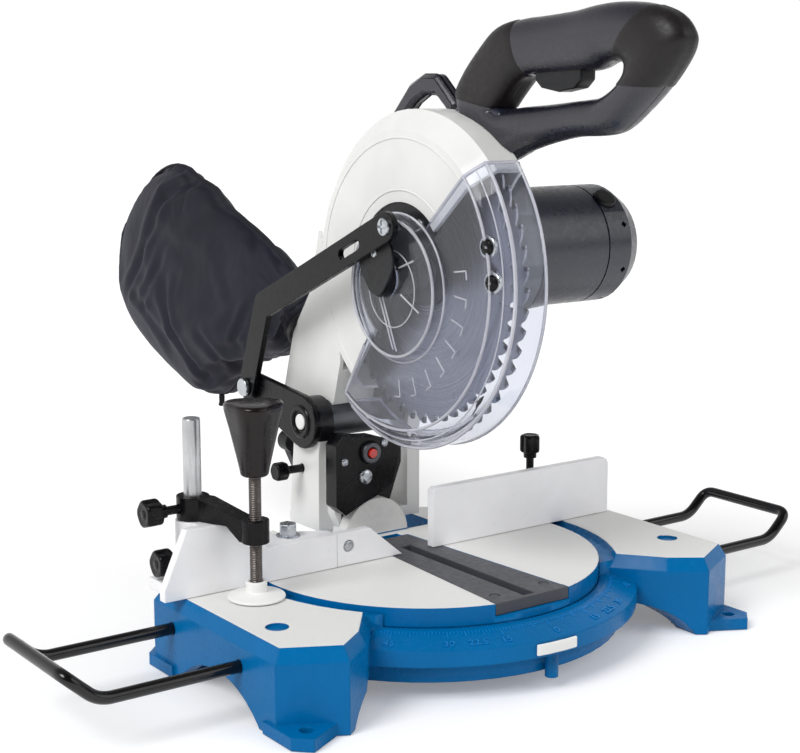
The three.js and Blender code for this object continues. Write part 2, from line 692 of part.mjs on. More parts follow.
function clampArm() {
  const root = [-outside(clamp.columnX), clamp.columnY];
  const tip = [-outside(clamp.screwX), clamp.screwY];
  const low = clamp.armBottom - clamp.armDrop;
  const plan = join(prism("z", barOutline(root, tip, clamp.armWeb, clamp.armWeb), low, clamp.armTop),
    rod("z", root, clamp.armRoot, low, clamp.armTop, 24),
    rod("z", tip, clamp.armTip, low, clamp.armTop, 20));
  const reach = clamp.screwY - 2 * clamp.armTip;
  const rear = clamp.columnY + 2 * clamp.armRoot;
  const side = prism("x", [
    [rear, clamp.armBottom], [rear, clamp.armTop], [clamp.topStart, clamp.armTop],
    [clamp.topEnd, clamp.armTop - clamp.armDrop], [reach, clamp.armTop - clamp.armDrop],
    [reach, low], [clamp.dropEnd, low], [clamp.dropStart, clamp.armBottom],
  ].reverse(), -far, far);
  return cut(plan.intersect(side),
    rod("z", root, clamp.columnRadius + seatGap, 0, 2 * clamp.armTop, 20),
    rod("z", tip, clamp.screwRadius + seatGap, 0, 2 * clamp.armTop, 16),
    rod("x", [clamp.columnY, lockKnob.armHeight], lockKnob.shank + seatGap,
      -outside(clamp.columnX) - 2 * clamp.armRoot, -outside(clamp.columnX), 12));
}

function clampScrew() {
  return rod("z", [-outside(clamp.screwX), clamp.screwY], clamp.screwRadius, clamp.screwFoot,
    clamp.screwTop, 16);
}

function clampPad() {
  const bore = clamp.screwRadius + seatGap;
  const floor = clamp.screwFoot - seatGap;
  return turned("z", [-outside(clamp.screwX), clamp.screwY], [
    [0, clamp.padBottom], [clamp.padRadius, clamp.padBottom], [clamp.padRadius, clamp.padRim],
    [clamp.padNeck, clamp.padTop], [clamp.padNeck, clamp.neckTop], [bore, clamp.neckTop],
    [bore, floor], [0, floor],
  ]);
}

function clampKnob() {
  const at = [-outside(clamp.screwX), clamp.screwY];
  const knob = lobedKnob("z", at, 3, clamp.knobWaist, clamp.knobRadius, clamp.knobBottom,
    clamp.knobTop);
  return cut(knob, rod("z", at, clamp.screwRadius + seatGap, 0, clamp.screwTop + seatGap, 16));
}

// Tilt yoke: hub on the tilt bolt, a front plate and two cheeks for the hinge
function tiltYoke() {
  const centre = [0, 0];
  const shoulders = [
    [tilt.plateLeft, tilt.plateShoulder], [tilt.plateLeft / 2, -tilt.hubRadius],
    [-tilt.plateLeft / 2, -tilt.hubRadius],
    [tilt.plateRight - tilt.plateSlope, tilt.plateShoulder],
    [tilt.plateRight, tilt.plateTop - tilt.plateSlope], [tilt.plateRight, tilt.plateTop],
    [tilt.plateLeft, tilt.plateTop],
  ];
  const plate = prism("y", shoulders, tilt.plateFront, tilt.plateRear);
  const disc = rod("y", centre, tilt.discRadius, tilt.plateFront, tilt.plateRear, 40);
  const hub = rod("y", centre, tilt.hubRadius, tilt.plateFront, tilt.rear, 32);
  const back = tilt.plateRear - seatGap;
  const floor = box([tilt.leftOuter, back, tilt.webBottom],
    [tilt.rightOuter, tilt.rear, tilt.webTop]);
  const cheekShape = [
    [back, tilt.webBottom], [tilt.rear, tilt.webBottom],
    ...arc([hinge.y, hinge.z], tilt.cheekRadius, -10, 190, 12),
    [back, tilt.plateTop],
  ];
  const cheeks = [[tilt.leftOuter, tilt.leftInner], [tilt.rightInner, tilt.rightOuter]]
    .map(([from, to]) => prism("x", cheekShape, from, to));
  return cut(join(plate, disc, hub, floor, ...cheeks),
    rod("y", centre, tilt.boltRadius + seatGap, 0, 2 * tilt.rear, 16),
    rod("x", [hinge.y, hinge.z], hinge.pinRadius + seatGap, 2 * tilt.leftOuter,
      2 * tilt.rightOuter, 24),
    rod("x", [lockPin.y, lockPin.z], lockPin.radius + seatGap, 2 * tilt.leftOuter, 0, 12));
}

const hingeHead = { radius: 11, thickness: 5 };

function hingePin() {
  const at = [hinge.y, hinge.z];
  const seat = tilt.rightOuter + seatGap;
  return join(rod("x", at, hinge.pinRadius, tilt.leftOuter - seatGap, seat + seatGap, 24),
    rod("x", at, hingeHead.radius, seat, seat + hingeHead.thickness, 6));
}

// Transport pin: a pull knob whose pin would hold the lowered head
const lockPin = { y: 98, z: 48, radius: 3, inner: -22, outer: -52, tip: -62, grip: 7 };

function transportPin() {
  const at = [lockPin.y, lockPin.z];
  return join(rod("x", at, lockPin.radius, lockPin.outer - seatGap, lockPin.inner, 12),
    starGrip("x", at, lockPin.grip, lockPin.tip, lockPin.outer));
}

// Bevel lock: a lever behind the yoke that turns on the tilt bolt
const bevelLever = {
  hub: 12, front: 117, rear: 129, tipX: -31, tipZ: 63, root: 8, tip: 6, neck: 4, grip: 8,
};

function tiltBolt() {
  return rod("y", [0, 0], tilt.boltRadius, tilt.boltFront, bevelLever.rear - overrun, 16);
}

function bevelLockLever() {
  const tip = [bevelLever.tipX, bevelLever.tipZ];
  const bore = rod("y", [0, 0], tilt.boltRadius + seatGap, 0, bevelLever.rear - overrun + seatGap,
    16);
  const arm = prism("y", barOutline([0, 0], tip, bevelLever.root, bevelLever.tip),
    bevelLever.front + bevelLever.neck, bevelLever.rear);
  return cut(join(arm, rod("y", [0, 0], bevelLever.hub, bevelLever.front, bevelLever.rear, 24),
    rod("y", tip, bevelLever.grip, bevelLever.front + bevelLever.neck / 2,
      bevelLever.rear + bevelLever.neck / 2, 20)), bore);
}

const guardPin = { radius: 3, left: -43.9, front: 18, rise: 36 };

// Guard link: a bracket on the yoke's left cheek carries the lever's pivot
const link = {
  pivot: [159, 101], bend: [135, 166], tip: [arbor.y - guardPin.front, arbor.z + guardPin.rise],
  width: 10, ring: 20, ringBore: 6.25,
  pivotRadius: 11, bracketLeft: -44, bracketRight: -38.3, leverLeft: -49, leverRight: -44.3,
  boltRadius: 4, boltHead: 7, boltOut: -53, slotFrom: 36, slotTo: 56, slotHalf: 3.4,
};

function linkBracket() {
  const shape = barOutline([hinge.y, hinge.z], link.pivot, link.ring, link.pivotRadius, 12);
  return cut(prism("x", shape, link.bracketLeft, link.bracketRight),
    rod("x", [hinge.y, hinge.z], link.ringBore, 2 * link.bracketLeft, 0, 20),
    rod("x", link.pivot, link.boltRadius + seatGap, 2 * link.bracketLeft, 0, 12));
}

function leverBolt() {
  return join(rod("x", link.pivot, link.boltRadius, link.leverLeft - seatGap * 2,
    link.bracketRight, 12),
  rod("x", link.pivot, link.boltHead, link.boltOut, link.leverLeft - seatGap, 16));
}

function guardLever() {
  const low = barOutline(link.pivot, link.bend, link.width, link.width);
  const high = barOutline(link.bend, link.tip, link.width, link.width);
  const [v, w] = [link.bend[0] - link.tip[0], link.bend[1] - link.tip[1]];
  const length = Math.hypot(v, w);
  const place = (distance) => [link.tip[0] + v * distance / length,
    link.tip[1] + w * distance / length];
  const slot = barOutline(place(link.slotFrom), place(link.slotTo), link.slotHalf, link.slotHalf);
  return cut(
    join(prism("x", low, link.leverLeft, link.leverRight),
      prism("x", high, link.leverLeft, link.leverRight)),
    rod("x", link.pivot, link.boltRadius + seatGap, 2 * link.leverLeft, 0, 12),
    prism("x", slot, 2 * link.leverLeft, 0),
    rod("x", link.tip, guardPin.radius + seatGap, 2 * link.leverLeft, 0, 12),
  );
}

// Laser line guide on the front of the yoke
const laser = {
  front: 52, rear: 66, x: -9, z: 64.5, radius: 8, noseFront: 48, lensRadius: 3.5,
  lensFront: 46.5, screwRadius: 1.5, boltRadius: 2.5, left: -38, bottom: 20, width: 57.5,
  height: 60,
  outlineShares: [[0.139, 0], [0.426, 0.117], [0.626, 0.183], [0.87, 0.3], [0.93, 0.5],
    [1, 0.733], [0.8, 0.867], [0.591, 0.933], [0.365, 0.95], [0.104, 1], [0, 0.867],
    [0, 0.117]],
  screwShares: [[0.122, 0.667], [0.73, 0.833]],
  boltShares: [[0.435, 0.483]],
};

function laserBracket() {
  const onFace = (shares) => placed([laser.left, laser.bottom], [laser.width, laser.height], shares);
  const holes = (shares, radius) => onFace(shares)
    .map((place) => rod("y", place, radius + seatGap, 0, 2 * laser.rear, 10));
  return cut(prism("y", onFace(laser.outlineShares), laser.front, laser.rear),
    rod("y", [laser.x, laser.z], laser.radius + seatGap, 0, laser.rear - overrun, 24),
    ...holes(laser.screwShares, laser.screwRadius),
    ...holes(laser.boltShares, laser.boltRadius));
}

function laserModule() {
  const at = [laser.x, laser.z];
  return cut(rod("y", at, laser.radius, laser.noseFront, laser.rear - overrun - seatGap, 24),
    rod("y", at, laser.lensRadius + seatGap, 0, laser.noseFront + overrun, 16));
}

function laserLens() {
  return rod("y", [laser.x, laser.z], laser.lensRadius, laser.lensFront,
    laser.noseFront + overrun - seatGap, 16);
}

// Head: a gearbox on an arm from the chop hinge, with a web up to the handle
const head = {
  radius: 45, left: 4, right: 36, wall: 3, cavityLeft: 18, armLeft: 14.3,
  armRoot: 14, armTip: 24, hubLeft: -25.4, hubRight: 41.4, webRight: 33,
  webFront: -80, webRear: 62, webFrontRise: 32, webRearRise: 24,
  webTopShares: [[0.12, 0.58], [0.444, 1], [0.704, 0.729], [1, 0.277]], webDrop: 52.6, webCrown: 21.6,
};
const motorAxis = polar([arbor.y, arbor.z],
  gears.module * (gears.pinionTeeth + gears.wheelTeeth) / 2, motorDirection);
const centreOfBlade = [arbor.y, arbor.z];

// The web rises from the gearbox to the guard's crown, where both handles stand
function webOutline() {
  const width = head.webRear - head.webFront;
  const top = placed([head.webFront, arbor.z + guard.rim - head.webDrop],
    [width, head.webDrop - head.webCrown], head.webTopShares);
  return [[head.webFront, arbor.z + head.webFrontRise], ...top,
    [head.webRear - head.webRearRise, arbor.z + head.webRearRise]];
}

function headArm() {
  const at = [hinge.y, hinge.z];
  const wheel = gears.module * (gears.wheelTeeth / 2 + 1) + gears.margin;
  const pinion = gears.module * (gears.pinionTeeth / 2 + 1) + gears.margin;
  const gearbox = prism("x", barOutline(motorAxis, centreOfBlade, motor.radius,
    head.radius, 16), head.left, head.right);
  const beam = prism("x", barOutline(at, centreOfBlade, head.armRoot, head.armTip),
    head.armLeft, head.right);
  const web = prism("x", webOutline().toReversed(), head.armLeft, head.webRight);
  const clearRight = head.right - head.wall;
  return cut(
    join(gearbox, beam, web, rod("x", at, head.armRoot, head.hubLeft, head.hubRight, 32)),
    rod("x", at, hinge.pinRadius + seatGap, -far, far, 24),
    rod("x", centreOfBlade, wheel, head.cavityLeft, clearRight, 40),
    rod("x", motorAxis, pinion, head.cavityLeft, clearRight, 24),
    rod("x", motorAxis, armature.shaft + seatGap, armature.left - seatGap, far, 16),
    rod("x", centreOfBlade, arbor.radius + seatGap, 0, clearRight, 20),
    rod("z", [spindleLock.x, arbor.y], spindleLock.radius + seatGap, 0,
      arbor.z - wheel + gears.margin, 12),
  );
}

// Spindle lock: a button under the gearbox whose pin reaches to the wheel
const spindleLock = { x: 25, radius: 3.5, below: 40, grip: 7, gripBelow: 50, gripLength: 7 };

function spindleLockButton() {
  const at = [spindleLock.x, arbor.y];
  const top = arbor.z - spindleLock.gripBelow;
  return join(rod("z", at, spindleLock.radius, top - seatGap, arbor.z - spindleLock.below, 12),
    rod("z", at, spindleLock.grip, top - spindleLock.gripLength, top, 16));
}

// Upper guard: a hollow quarter shell with a tail down to the hinge
const guard = {
  rim: bladeRadius + guardClearance, rimLeft: -10, left: -22, right: 14, shoulderDrop: 14,
  skin: 3, opening: 50, from: -54, to: 139, tailFront: 70, tailWidth: 78, tailBelowHinge: 12,
    tailAboveArbor: 23,
  tailShares: [[0.346, 1], [0.115, 0.78], [0, 0.38], [0.115, 0.173], [0.372, 0], [0.91, 0.033],
    [1, 0.153], [0.808, 0.48], [0.5, 0.7]],
  ductShares: [[0, 0.88], [0.436, 0.687], [0.744, 0.473], [0.718, 0.367], [0.513, 0.327],
    [0.256, 0.38], [0.064, 0.513]],
  portShares: [[0.667, 0.427]],
};
const port = { start: onTail(guard.portShares)[0], heading: 36, length: 30, outer: 15.5,
  inner: 12.5, x: -4, bead: 1.5, beadAt: 24 };

// Places on the guard's tail, between the hinge and the height of the arbor
function onTail(shares) {
  const low = hinge.z - guard.tailBelowHinge;
  return placed([guard.tailFront, low],
    [guard.tailWidth, arbor.z + guard.tailAboveArbor - low], shares);
}

// A round bar between two places in the plane of the blade
function strut(from, heading, length, radius, x, sides = 24) {
  const geometry = new THREE.CylinderGeometry(radius, radius, length, sides);
  geometry.translate(0, length / 2, 0).rotateX(radians(heading));
  return solid(geometry.translate(x, ...from));
}

function upperGuard() {
  const { rim, rimLeft, left, right, skin, opening } = guard;
  const shoulder = rim - guard.shoulderDrop;
  const shell = turned("x", centreOfBlade, [
    [opening, left], [shoulder, left], [rim, rimLeft], [rim, right],
    [opening, right], [opening, right - skin], [rim - skin, right - skin],
    [rim - skin, rimLeft + skin / 2], [shoulder - skin / 2, left + skin], [opening, left + skin],
  ], 72).intersect(wedge(centreOfBlade, 2 * rim, guard.from, guard.to, -far, far));
  const tail = prism("x", onTail(guard.tailShares).toReversed(), left, right);
  const duct = prism("x", onTail(guard.ductShares).toReversed(), left + skin, right - skin);
  const swept = rod("x", centreOfBlade, rim - skin, left + skin, right - skin, 72);
  const gearboxHole = prism("x", barOutline(motorAxis, centreOfBlade,
    motor.radius + runningGap, head.radius + runningGap, 16), 0, far);
  return cut(join(shell, cut(tail, swept)),
    duct, gearboxHole,
    rod("x", [hinge.y, hinge.z], head.armRoot + runningGap, -far, far, 32),
    strut(port.start, port.heading, 2 * port.length, port.outer + seatGap, port.x));
}

// Hub plate inside the guard: its boss carries the moving guard
const hubPlate = {
  flange: 54, face: 49.4, boss: 13, bore: 10, right: -15, bossLeft: -41.3, capLeft: -43.7,
  capLow: 12, capHigh: 20, capRise: 13, spread: 4, recess: 1,
};

function guardHubPlate() {
  const flangeLeft = guard.left + guard.skin + seatGap;
  const disc = turned("x", centreOfBlade, [
    [hubPlate.bore, guard.left + hubPlate.recess], [hubPlate.face, guard.left + hubPlate.recess],
    [hubPlate.face, flangeLeft], [hubPlate.flange, flangeLeft],
    [hubPlate.flange, hubPlate.right], [hubPlate.bore, hubPlate.right],
  ], 48).intersect(wedge(centreOfBlade, 2 * hubPlate.flange, guard.from - hubPlate.spread,
    guard.to + hubPlate.spread, -far, far));
  return join(disc, tube("x", centreOfBlade, hubPlate.boss, hubPlate.bore, hubPlate.bossLeft,
    hubPlate.right, 32));
}

function guardHubCap() {
  const inner = hubPlate.bossLeft - seatGap / 2;
  const high = [arbor.y, arbor.z + hubPlate.capRise];
  return join(prism("x", barOutline(centreOfBlade, high, hubPlate.capLow, hubPlate.capHigh, 12),
    hubPlate.capLeft, inner),
  rod("x", centreOfBlade, hubPlate.bore - seatGap, inner - seatGap, inner + guard.skin, 24));
}

// Moving guard: clear plastic, a stepped shell round the lower blade
const lower = {
  rim: guard.rim + movingGuardClearance, skin: 3, right: 6, rimLeft: -20, shoulderDrop: 13.5, wall: -30,
  dishOuter: 50, dishInner: 46, dishFront: 8, dishDrop: 7, hubLeft: -36, boreGap: 0.6,
  from: 137, to: 303,
};

function lowerGuard() {
  const { rim, skin, wall, hubLeft, dishOuter, dishInner } = lower;
  const dishAt = [arbor.y - lower.dishFront, arbor.z - lower.dishDrop];
  const shoulder = rim - lower.shoulderDrop;
  const bore = hubPlate.boss + lower.boreGap;
  const shell = turned("x", centreOfBlade, [
    [0, wall], [shoulder, wall], [rim, lower.rimLeft], [rim, lower.right],
    [rim - skin, lower.right], [rim - skin, lower.rimLeft + skin / 2],
    [shoulder - skin / 2, wall + skin], [0, wall + skin],
  ], 96).intersect(wedge(centreOfBlade, 2 * rim, lower.from, lower.to, -far, far));
  const dish = turned("x", dishAt, [[0, hubLeft], [dishInner, hubLeft], [dishOuter, wall],
    [dishOuter, wall + skin], [0, wall + skin]], 48);
  const under = turned("x", dishAt, [[0, hubLeft + skin], [dishInner - skin / 2, hubLeft + skin],
    [dishOuter - skin / 2, wall + skin], [dishOuter - skin / 2, wall + 2 * skin],
    [0, wall + 2 * skin]], 48);
  return join(cut(join(shell, dish), under, rod("x", centreOfBlade, bore, -far, far, 32)),
    rod("x", link.tip, guardPin.radius, guardPin.left, hubLeft + skin / 2, 12));
}

// Blade and the parts that turn with the arbor
const teeth = { rootShare: 0.925, backShare: 0.55, gulletShare: 0.8 };
const flange = { radius: 22, thickness: 2.4 };
const arborBolt = { head: 9, left: -12, shank: 4, right: 8, washer: 11, washerThickness: 2 };

function blade() {
  const pitch = 360 / toothCount;
  const root = bladeRadius * teeth.rootShare;
  const outline = Array.from({ length: toothCount }, (_, i) => [
    polar(centreOfBlade, bladeRadius, i * pitch),
    polar(centreOfBlade, bladeRadius - overrun / 2, (i + teeth.backShare) * pitch),
    polar(centreOfBlade, root, (i + teeth.gulletShare) * pitch),
  ]).flat();
  const half = bladeThickness / 2;
  return cut(prism("x", outline, -half, half),
    rod("x", centreOfBlade, arbor.radius + seatGap, -far, far, 20));
}

function bladeFlange() {
  const near = bladeThickness / 2 + closeGap;
  return tube("x", centreOfBlade, flange.radius, arbor.radius + closeGap,
    -near - flange.thickness, -near, 32);
}

function arborShaft() {
  const left = -bladeThickness / 2 - flange.thickness;
  const right = head.right - head.wall - seatGap;
  const near = bladeThickness / 2 + closeGap;
  const seat = rod("x", centreOfBlade, flange.radius, near, near + flange.thickness, 32);
  return cut(join(rod("x", centreOfBlade, arbor.radius, left, right, 20), seat),
    rod("x", centreOfBlade, arborBolt.shank + closeGap, -far, arborBolt.right + seatGap, 12));
}

function arborBoltPiece() {
  const seat = -bladeThickness / 2 - flange.thickness - 2 * closeGap;
  const inWasher = seat - arborBolt.washerThickness / 2;
  return join(
    rod("x", centreOfBlade, arborBolt.washer, seat - arborBolt.washerThickness, seat, 24),
    rod("x", centreOfBlade, arborBolt.head, arborBolt.left, inWasher, 6),
    rod("x", centreOfBlade, arborBolt.shank, inWasher, arborBolt.right, 12));
}

// Gear outline: straight-sided teeth, thin enough to leave backlash
const gearTooth = { rootShare: 0.3, tipShare: 0.13, addendum: 0.85, dedendum: 1.15 };

function gearOutline(centre, count, phase) {
  const pitch = 360 / count;
  const root = gears.module * (count / 2 - gearTooth.dedendum);
  const tip = gears.module * (count / 2 + gearTooth.addendum);
  return Array.from({ length: count }, (_, i) => {
    const middle = phase + i * pitch;
    return [
      polar(centre, root, middle - gearTooth.rootShare * pitch),
      polar(centre, tip, middle - gearTooth.tipShare * pitch),
      polar(centre, tip, middle + gearTooth.tipShare * pitch),
      polar(centre, root, middle + gearTooth.rootShare * pitch),
    ];
  }).flat();
}

function wheelGear() {
  const outline = gearOutline(centreOfBlade, gears.wheelTeeth, motorDirection);
  return cut(prism("x", outline, gears.left, gears.left + gears.width),
    rod("x", centreOfBlade, arbor.radius + closeGap, -far, far, 20));
}

function pinionGear() {
  const facing = motorDirection + 180 + 180 / gears.pinionTeeth;
  const outline = gearOutline(motorAxis, gears.pinionTeeth, facing);
  return cut(prism("x", outline, gears.left - gears.margin,
    gears.left + gears.width + gears.margin),
    rod("x", motorAxis, armature.shaft + closeGap, -far, far, 12));
}

// Motor: a shell, an end cap, the wound stator and the turning armature
const motor = {
  radius: 41, skin: 3, left: head.right + seatGap, joint: 96, right: 128, shoulder: 116,
  chamfer: 7, vents: 8, ventWidth: 2.4,
};
const stator = { outer: motor.radius - motor.skin - seatGap, wall: 15.7, left: 52, right: 90 };
const armature = { coreLeft: 54, coreRight: 88, shaft: 4, left: 12, right: 118, commutator: 12,
  commLeft: 96, commRight: 110, fanGap: 5, fanLeft: 40, fanRight: 47 };
const bearing = { outer: 9, left: 112, right: 118 };
const brush = { x: 104, radius: 8, sunk: 2.4, proud: 2.5, heading: 128 };

function motorHousing() {
  return cut(rod("x", motorAxis, motor.radius, motor.left, motor.joint, 48),
    rod("x", motorAxis, motor.radius - motor.skin, motor.left + motor.skin, far, 40),
    rod("x", motorAxis, motor.radius - 3 * motor.skin, 0, far, 32));
}

function motorEndCap() {
  const { radius, skin, right, shoulder, vents } = motor;
  const capEdge = radius - motor.chamfer;
  const bore = armature.shaft + seatGap;
  const start = motor.joint + seatGap;
  const inner = radius - skin;
  const shell = turned("x", motorAxis, [
    [inner, start], [radius, start], [radius, shoulder], [capEdge, right], [0, right],
    [0, bearing.right + seatGap], [bore, bearing.right + seatGap],
    [bore, bearing.left], [bearing.outer, bearing.left],
    [bearing.outer, right - skin], [capEdge - skin, right - skin],
    [inner, shoulder],
  ], 40);
  const slots = Array.from({ length: vents }, (_, i) => strut(motorAxis, (i + 0.5) * 360 / vents,
    2 * radius, motor.ventWidth, shoulder - 2 * motor.ventWidth, 4));
  const brushHole = strut(motorAxis, brush.heading, 2 * radius, brush.radius + seatGap,
    brush.x, 20);
  return cut(shell, ...slots, brushHole);
}

function brushCap(heading) {
  const start = polar(motorAxis, motor.radius - brush.sunk, heading);
  return strut(start, heading, brush.sunk + brush.proud, brush.radius, brush.x, 20);
}

function statorCore() {
  return tube("x", motorAxis, stator.outer, stator.outer - stator.wall, stator.left,
    stator.right, 40);
}

function armatureCore() {
  const core = stator.outer - stator.wall - runningGap;
  const fan = motor.radius - motor.skin - armature.fanGap;
  return join(
    rod("x", motorAxis, armature.shaft, armature.left, armature.right, 12),
    rod("x", motorAxis, core, armature.coreLeft, armature.coreRight, 32),
    rod("x", motorAxis, fan, armature.fanLeft, armature.fanRight, 24),
  );
}

function onShaft(radius, from, to, sides) {
  return tube("x", motorAxis, radius, armature.shaft + closeGap, from, to, sides);
}

// Handle: two shells round a closed loop, meeting on a seam
const handle = {
  rear: -17, sunk: 34, length: 207, rise: 99, half: 16, seam: 22,
  loopShares: [
    [[0.019, 0.394], [0.208, 0.343], 0.938, 4],
    [[0.048, 0.556], [0.242, 0.414], 0.938, 4],
    [[0.145, 0.758], [0.285, 0.495], 0.969, 3.6],
    [[0.222, 0.879], [0.319, 0.54], 1, 3],
    [[0.314, 0.924], [0.362, 0.561], 1],
    [[0.425, 0.939], [0.44, 0.571], 0.969],
    [[0.551, 0.96], [0.551, 0.581], 0.969],
    [[0.652, 0.99], [0.647, 0.596], 1],
    [[0.749, 1], [0.691, 0.631], 1],
    [[0.86, 0.98], [0.729, 0.646], 1],
    [[0.952, 0.919], [0.754, 0.646], 1],
    [[1, 0.818], [0.773, 0.631], 1],
    [[1, 0.727], [0.778, 0.601], 1],
    [[0.961, 0.606], [0.773, 0.556], 0.969],
    [[0.903, 0.475], [0.744, 0.5], 0.938],
    [[0.836, 0.354], [0.705, 0.455], 0.906],
    [[0.754, 0.232], [0.667, 0.429], 0.875],
    [[0.681, 0.197], [0.633, 0.419], 0.844],
    [[0.56, 0.182], [0.556, 0.404], 0.812],
    [[0.43, 0.131], [0.43, 0.379], 0.844],
    [[0.324, 0.071], [0.329, 0.364], 0.875],
    [[0.222, 0.01], [0.246, 0.343], 0.875, 3],
    [[0.101, 0.121], [0.215, 0.338], 0.906, 4],
  ],
  footShares: [[0.314, 0.081], [0.222, 0], [0, 0.131], [0.014, 0.364], [0.135, 0.404], [0.246, 0.333]],
  footLeft: 10, footRight: 34, footEdge: 3,
  pocketShares: [[0.377, 0.505], [0.609, 0.505], [0.609, 0.727], [0.377, 0.727]],
  pocketLeft: 15, pocketRight: 29,
};
const trigger = {
  shares: [[0.386, 0.657], [0.386, 0.535], [0.415, 0.485], [0.493, 0.46], [0.565, 0.485], [0.594, 0.535],
    [0.594, 0.657]],
  left: 15.6, right: 28.4,
};
const lockOff = { placeShares: [[0.43, 0.828]], radius: 5, inner: 30, outer: 42, well: 5 };

// Places on the handle, which stands on the guard's crown
function onHandle(shares) {
  return placed([handle.rear, arbor.z + guard.rim - handle.sunk], [-handle.length, handle.rise],
    shares);
}

function handleWhole() {
  const stations = handle.loopShares.map(([outer, inner, width, square]) => {
    const [from, to] = onHandle([outer, inner]);
    return { outer: from, inner: to, half: width * handle.half, square };
  });
  const edge = { size: handle.footEdge, depth: handle.footEdge, offset: -handle.footEdge };
  const loop = lofted(stations.toReversed(), handle.seam, true);
  const foot = prism("x", onHandle(handle.footShares).toReversed(), handle.footLeft,
    handle.footRight, edge);
  return cut(join(loop, foot),
    rod("x", centreOfBlade, guard.rim + runningGap, -far, guard.right + seatGap, 72),
    prism("x", onHandle(handle.pocketShares).toReversed(), handle.pocketLeft, handle.pocketRight),
    rod("x", onHandle(lockOff.placeShares)[0], lockOff.radius + seatGap,
    lockOff.inner - lockOff.well, far, 16));
}

function handleShell(side) {
  const edge = handle.seam + side * seatGap / 2;
  const [from, to] = side > 0 ? [edge, far] : [-far, edge];
  return handleWhole().intersect(box([from, -2 * far, 0], [to, 2 * far, 2 * far]));
}

function handleTrigger() {
  return prism("x", onHandle(trigger.shares).toReversed(), trigger.left, trigger.right);
}

function lockOffButton() {
  return rod("x", onHandle(lockOff.placeShares)[0], lockOff.radius, lockOff.inner, lockOff.outer,
    16);
}

const carry = {
  left: 16, right: 28, edge: 3, front: -14, sunk: 43.4, length: 78, rise: 66.4,
  shares: [[0, 0.337], [0, 0.714], [0.282, 1], [0.487, 1], [0.692, 0.895], [0.923, 0.623], [1, 0.322],
    [0.974, 0], [0.846, 0.045], [0.872, 0.292], [0.808, 0.503], [0.615, 0.699], [0.462, 0.789],
    [0.308, 0.789], [0.115, 0.608], [0.115, 0.298]],
};

function carryHandle() {
  const edge = { size: carry.edge, depth: carry.edge, offset: -carry.edge, steps: 2 };
  const outline = placed([carry.front, arbor.z + guard.rim - carry.sunk],
    [carry.length, carry.rise], carry.shares);
  return prism("x", outline.toReversed(), carry.left, carry.right, edge);
}

// Dust port, clip ring and bag behind the guard's tail
function dustPort() {
  const outer = strut(port.start, port.heading, port.length, port.outer, port.x);
  const collarStart = polar(port.start, port.beadAt, port.heading);
  const collar = strut(collarStart, port.heading, port.length - port.beadAt,
    port.outer + port.bead, port.x);
  const boreStart = polar(port.start, -overrun, port.heading);
  return cut(join(outer, collar),
    strut(boreStart, port.heading, port.length + 2 * overrun, port.inner, port.x));
}

const bag = {
  offset: 7.7, drop: 61, length: 309.3, height: 185, half: 33,
  sectionShares: [
    [[0, 0.497], [0.076, 0.324], 0.606],
    [[0.066, 0.573], [0.137, 0.259], 0.667],
    [[0.163, 0.67], [0.25, 0.205], 0.818, 2.6],
    [[0.247, 0.735], [0.35, 0.097], 0.939, 2.8],
    [[0.344, 0.8], [0.437, 0], 1, 2.8],
    [[0.418, 0.849], [0.518, 0], 1, 2.8],
    [[0.479, 0.914], [0.625, 0.054], 1, 2.8],
    [[0.56, 0.951], [0.758, 0.141], 1, 2.8],
    [[0.618, 0.989], [0.848, 0.216], 0.97, 2.8],
    [[0.686, 1], [0.913, 0.292], 0.909, 2.6],
    [[0.761, 0.978], [0.961, 0.373], 0.818],
    [[0.822, 0.935], [0.987, 0.454], 0.697],
    [[0.887, 0.854], [1, 0.541], 0.515],
    [[0.945, 0.746], [0.99, 0.632], 0.273],
  ],
};

function dustBag() {
  const [y, z] = port.start;
  const corner = [y + bag.offset, z - bag.drop];
  const sections = bag.sectionShares.map(([outer, inner, width, square]) => {
    const [top, bottom] = placed(corner, [bag.length, bag.height], [outer, inner]);
    return { outer: top, inner: bottom, half: width * bag.half, square };
  });
  return cut(lofted(sections, port.x, false),
    strut(port.start, port.heading, port.length + overrun, port.outer + port.bead + seatGap,
      port.x));
}

add("base_casting", baseCasting(), "blue", "paint");
add("mitre_index_plate", mitreIndexPlate(), "white", "plastic");
add("pivot_bolt", screw("z", [0, 0], pivotBolt.shank, pivotBolt.bottom, pivotBolt.top,
  pivotBolt.head, pivotBolt.headBottom, pivotBolt.top, 6), "dark", "metal");
add("support_bar_left", supportBar(-1), "black", "metal");
add("support_bar_right", supportBar(1), "black", "metal");

add("turntable", turntable(), "white", "metal");
add("kerf_insert", kerfInsert(), "grey", "plastic");
insertScrewPlaces.forEach((place, i) => {
  add(`insert_screw_${i + 1}`, insertScrewPiece(place), "dark", "metal");
});

add("fence_right", fenceRight(), "white", "paint");
add("fence_left", fenceLeft(), "white", "paint");
add("fence_end_piece", fenceEndPiece(), "white", "paint");
const fenceBoltPlaces = [["fence_bolt_right", outside(fenceBolt.right)],
  ["fence_bolt_left", -outside(fenceBolt.left)]];
for (const [name, x] of fenceBoltPlaces) {
  const seat = fence.flangeHeight + seatGap;
  add(name, screw("z", [x, fenceBolt.y], fenceBolt.shank, fenceBolt.bottom, seat + seatGap,
    fenceBolt.head, seat, seat + fenceBolt.headHeight), "steel", "metal");
}
add("fence_block_bolt", screw("z", [-outside(blockBolt.x), blockBolt.y], blockBolt.shank,
  blockBolt.bottom, blockBolt.seat + seatGap, blockBolt.head, blockBolt.seat, blockBolt.top),
"steel", "metal");
add("fence_end_bolt", screw("y", [endBolt.x, endBolt.z], endBolt.shank, endBolt.headFront,
  endBolt.rear, endBolt.head, endBolt.headFront, endBolt.headRear), "steel", "metal");
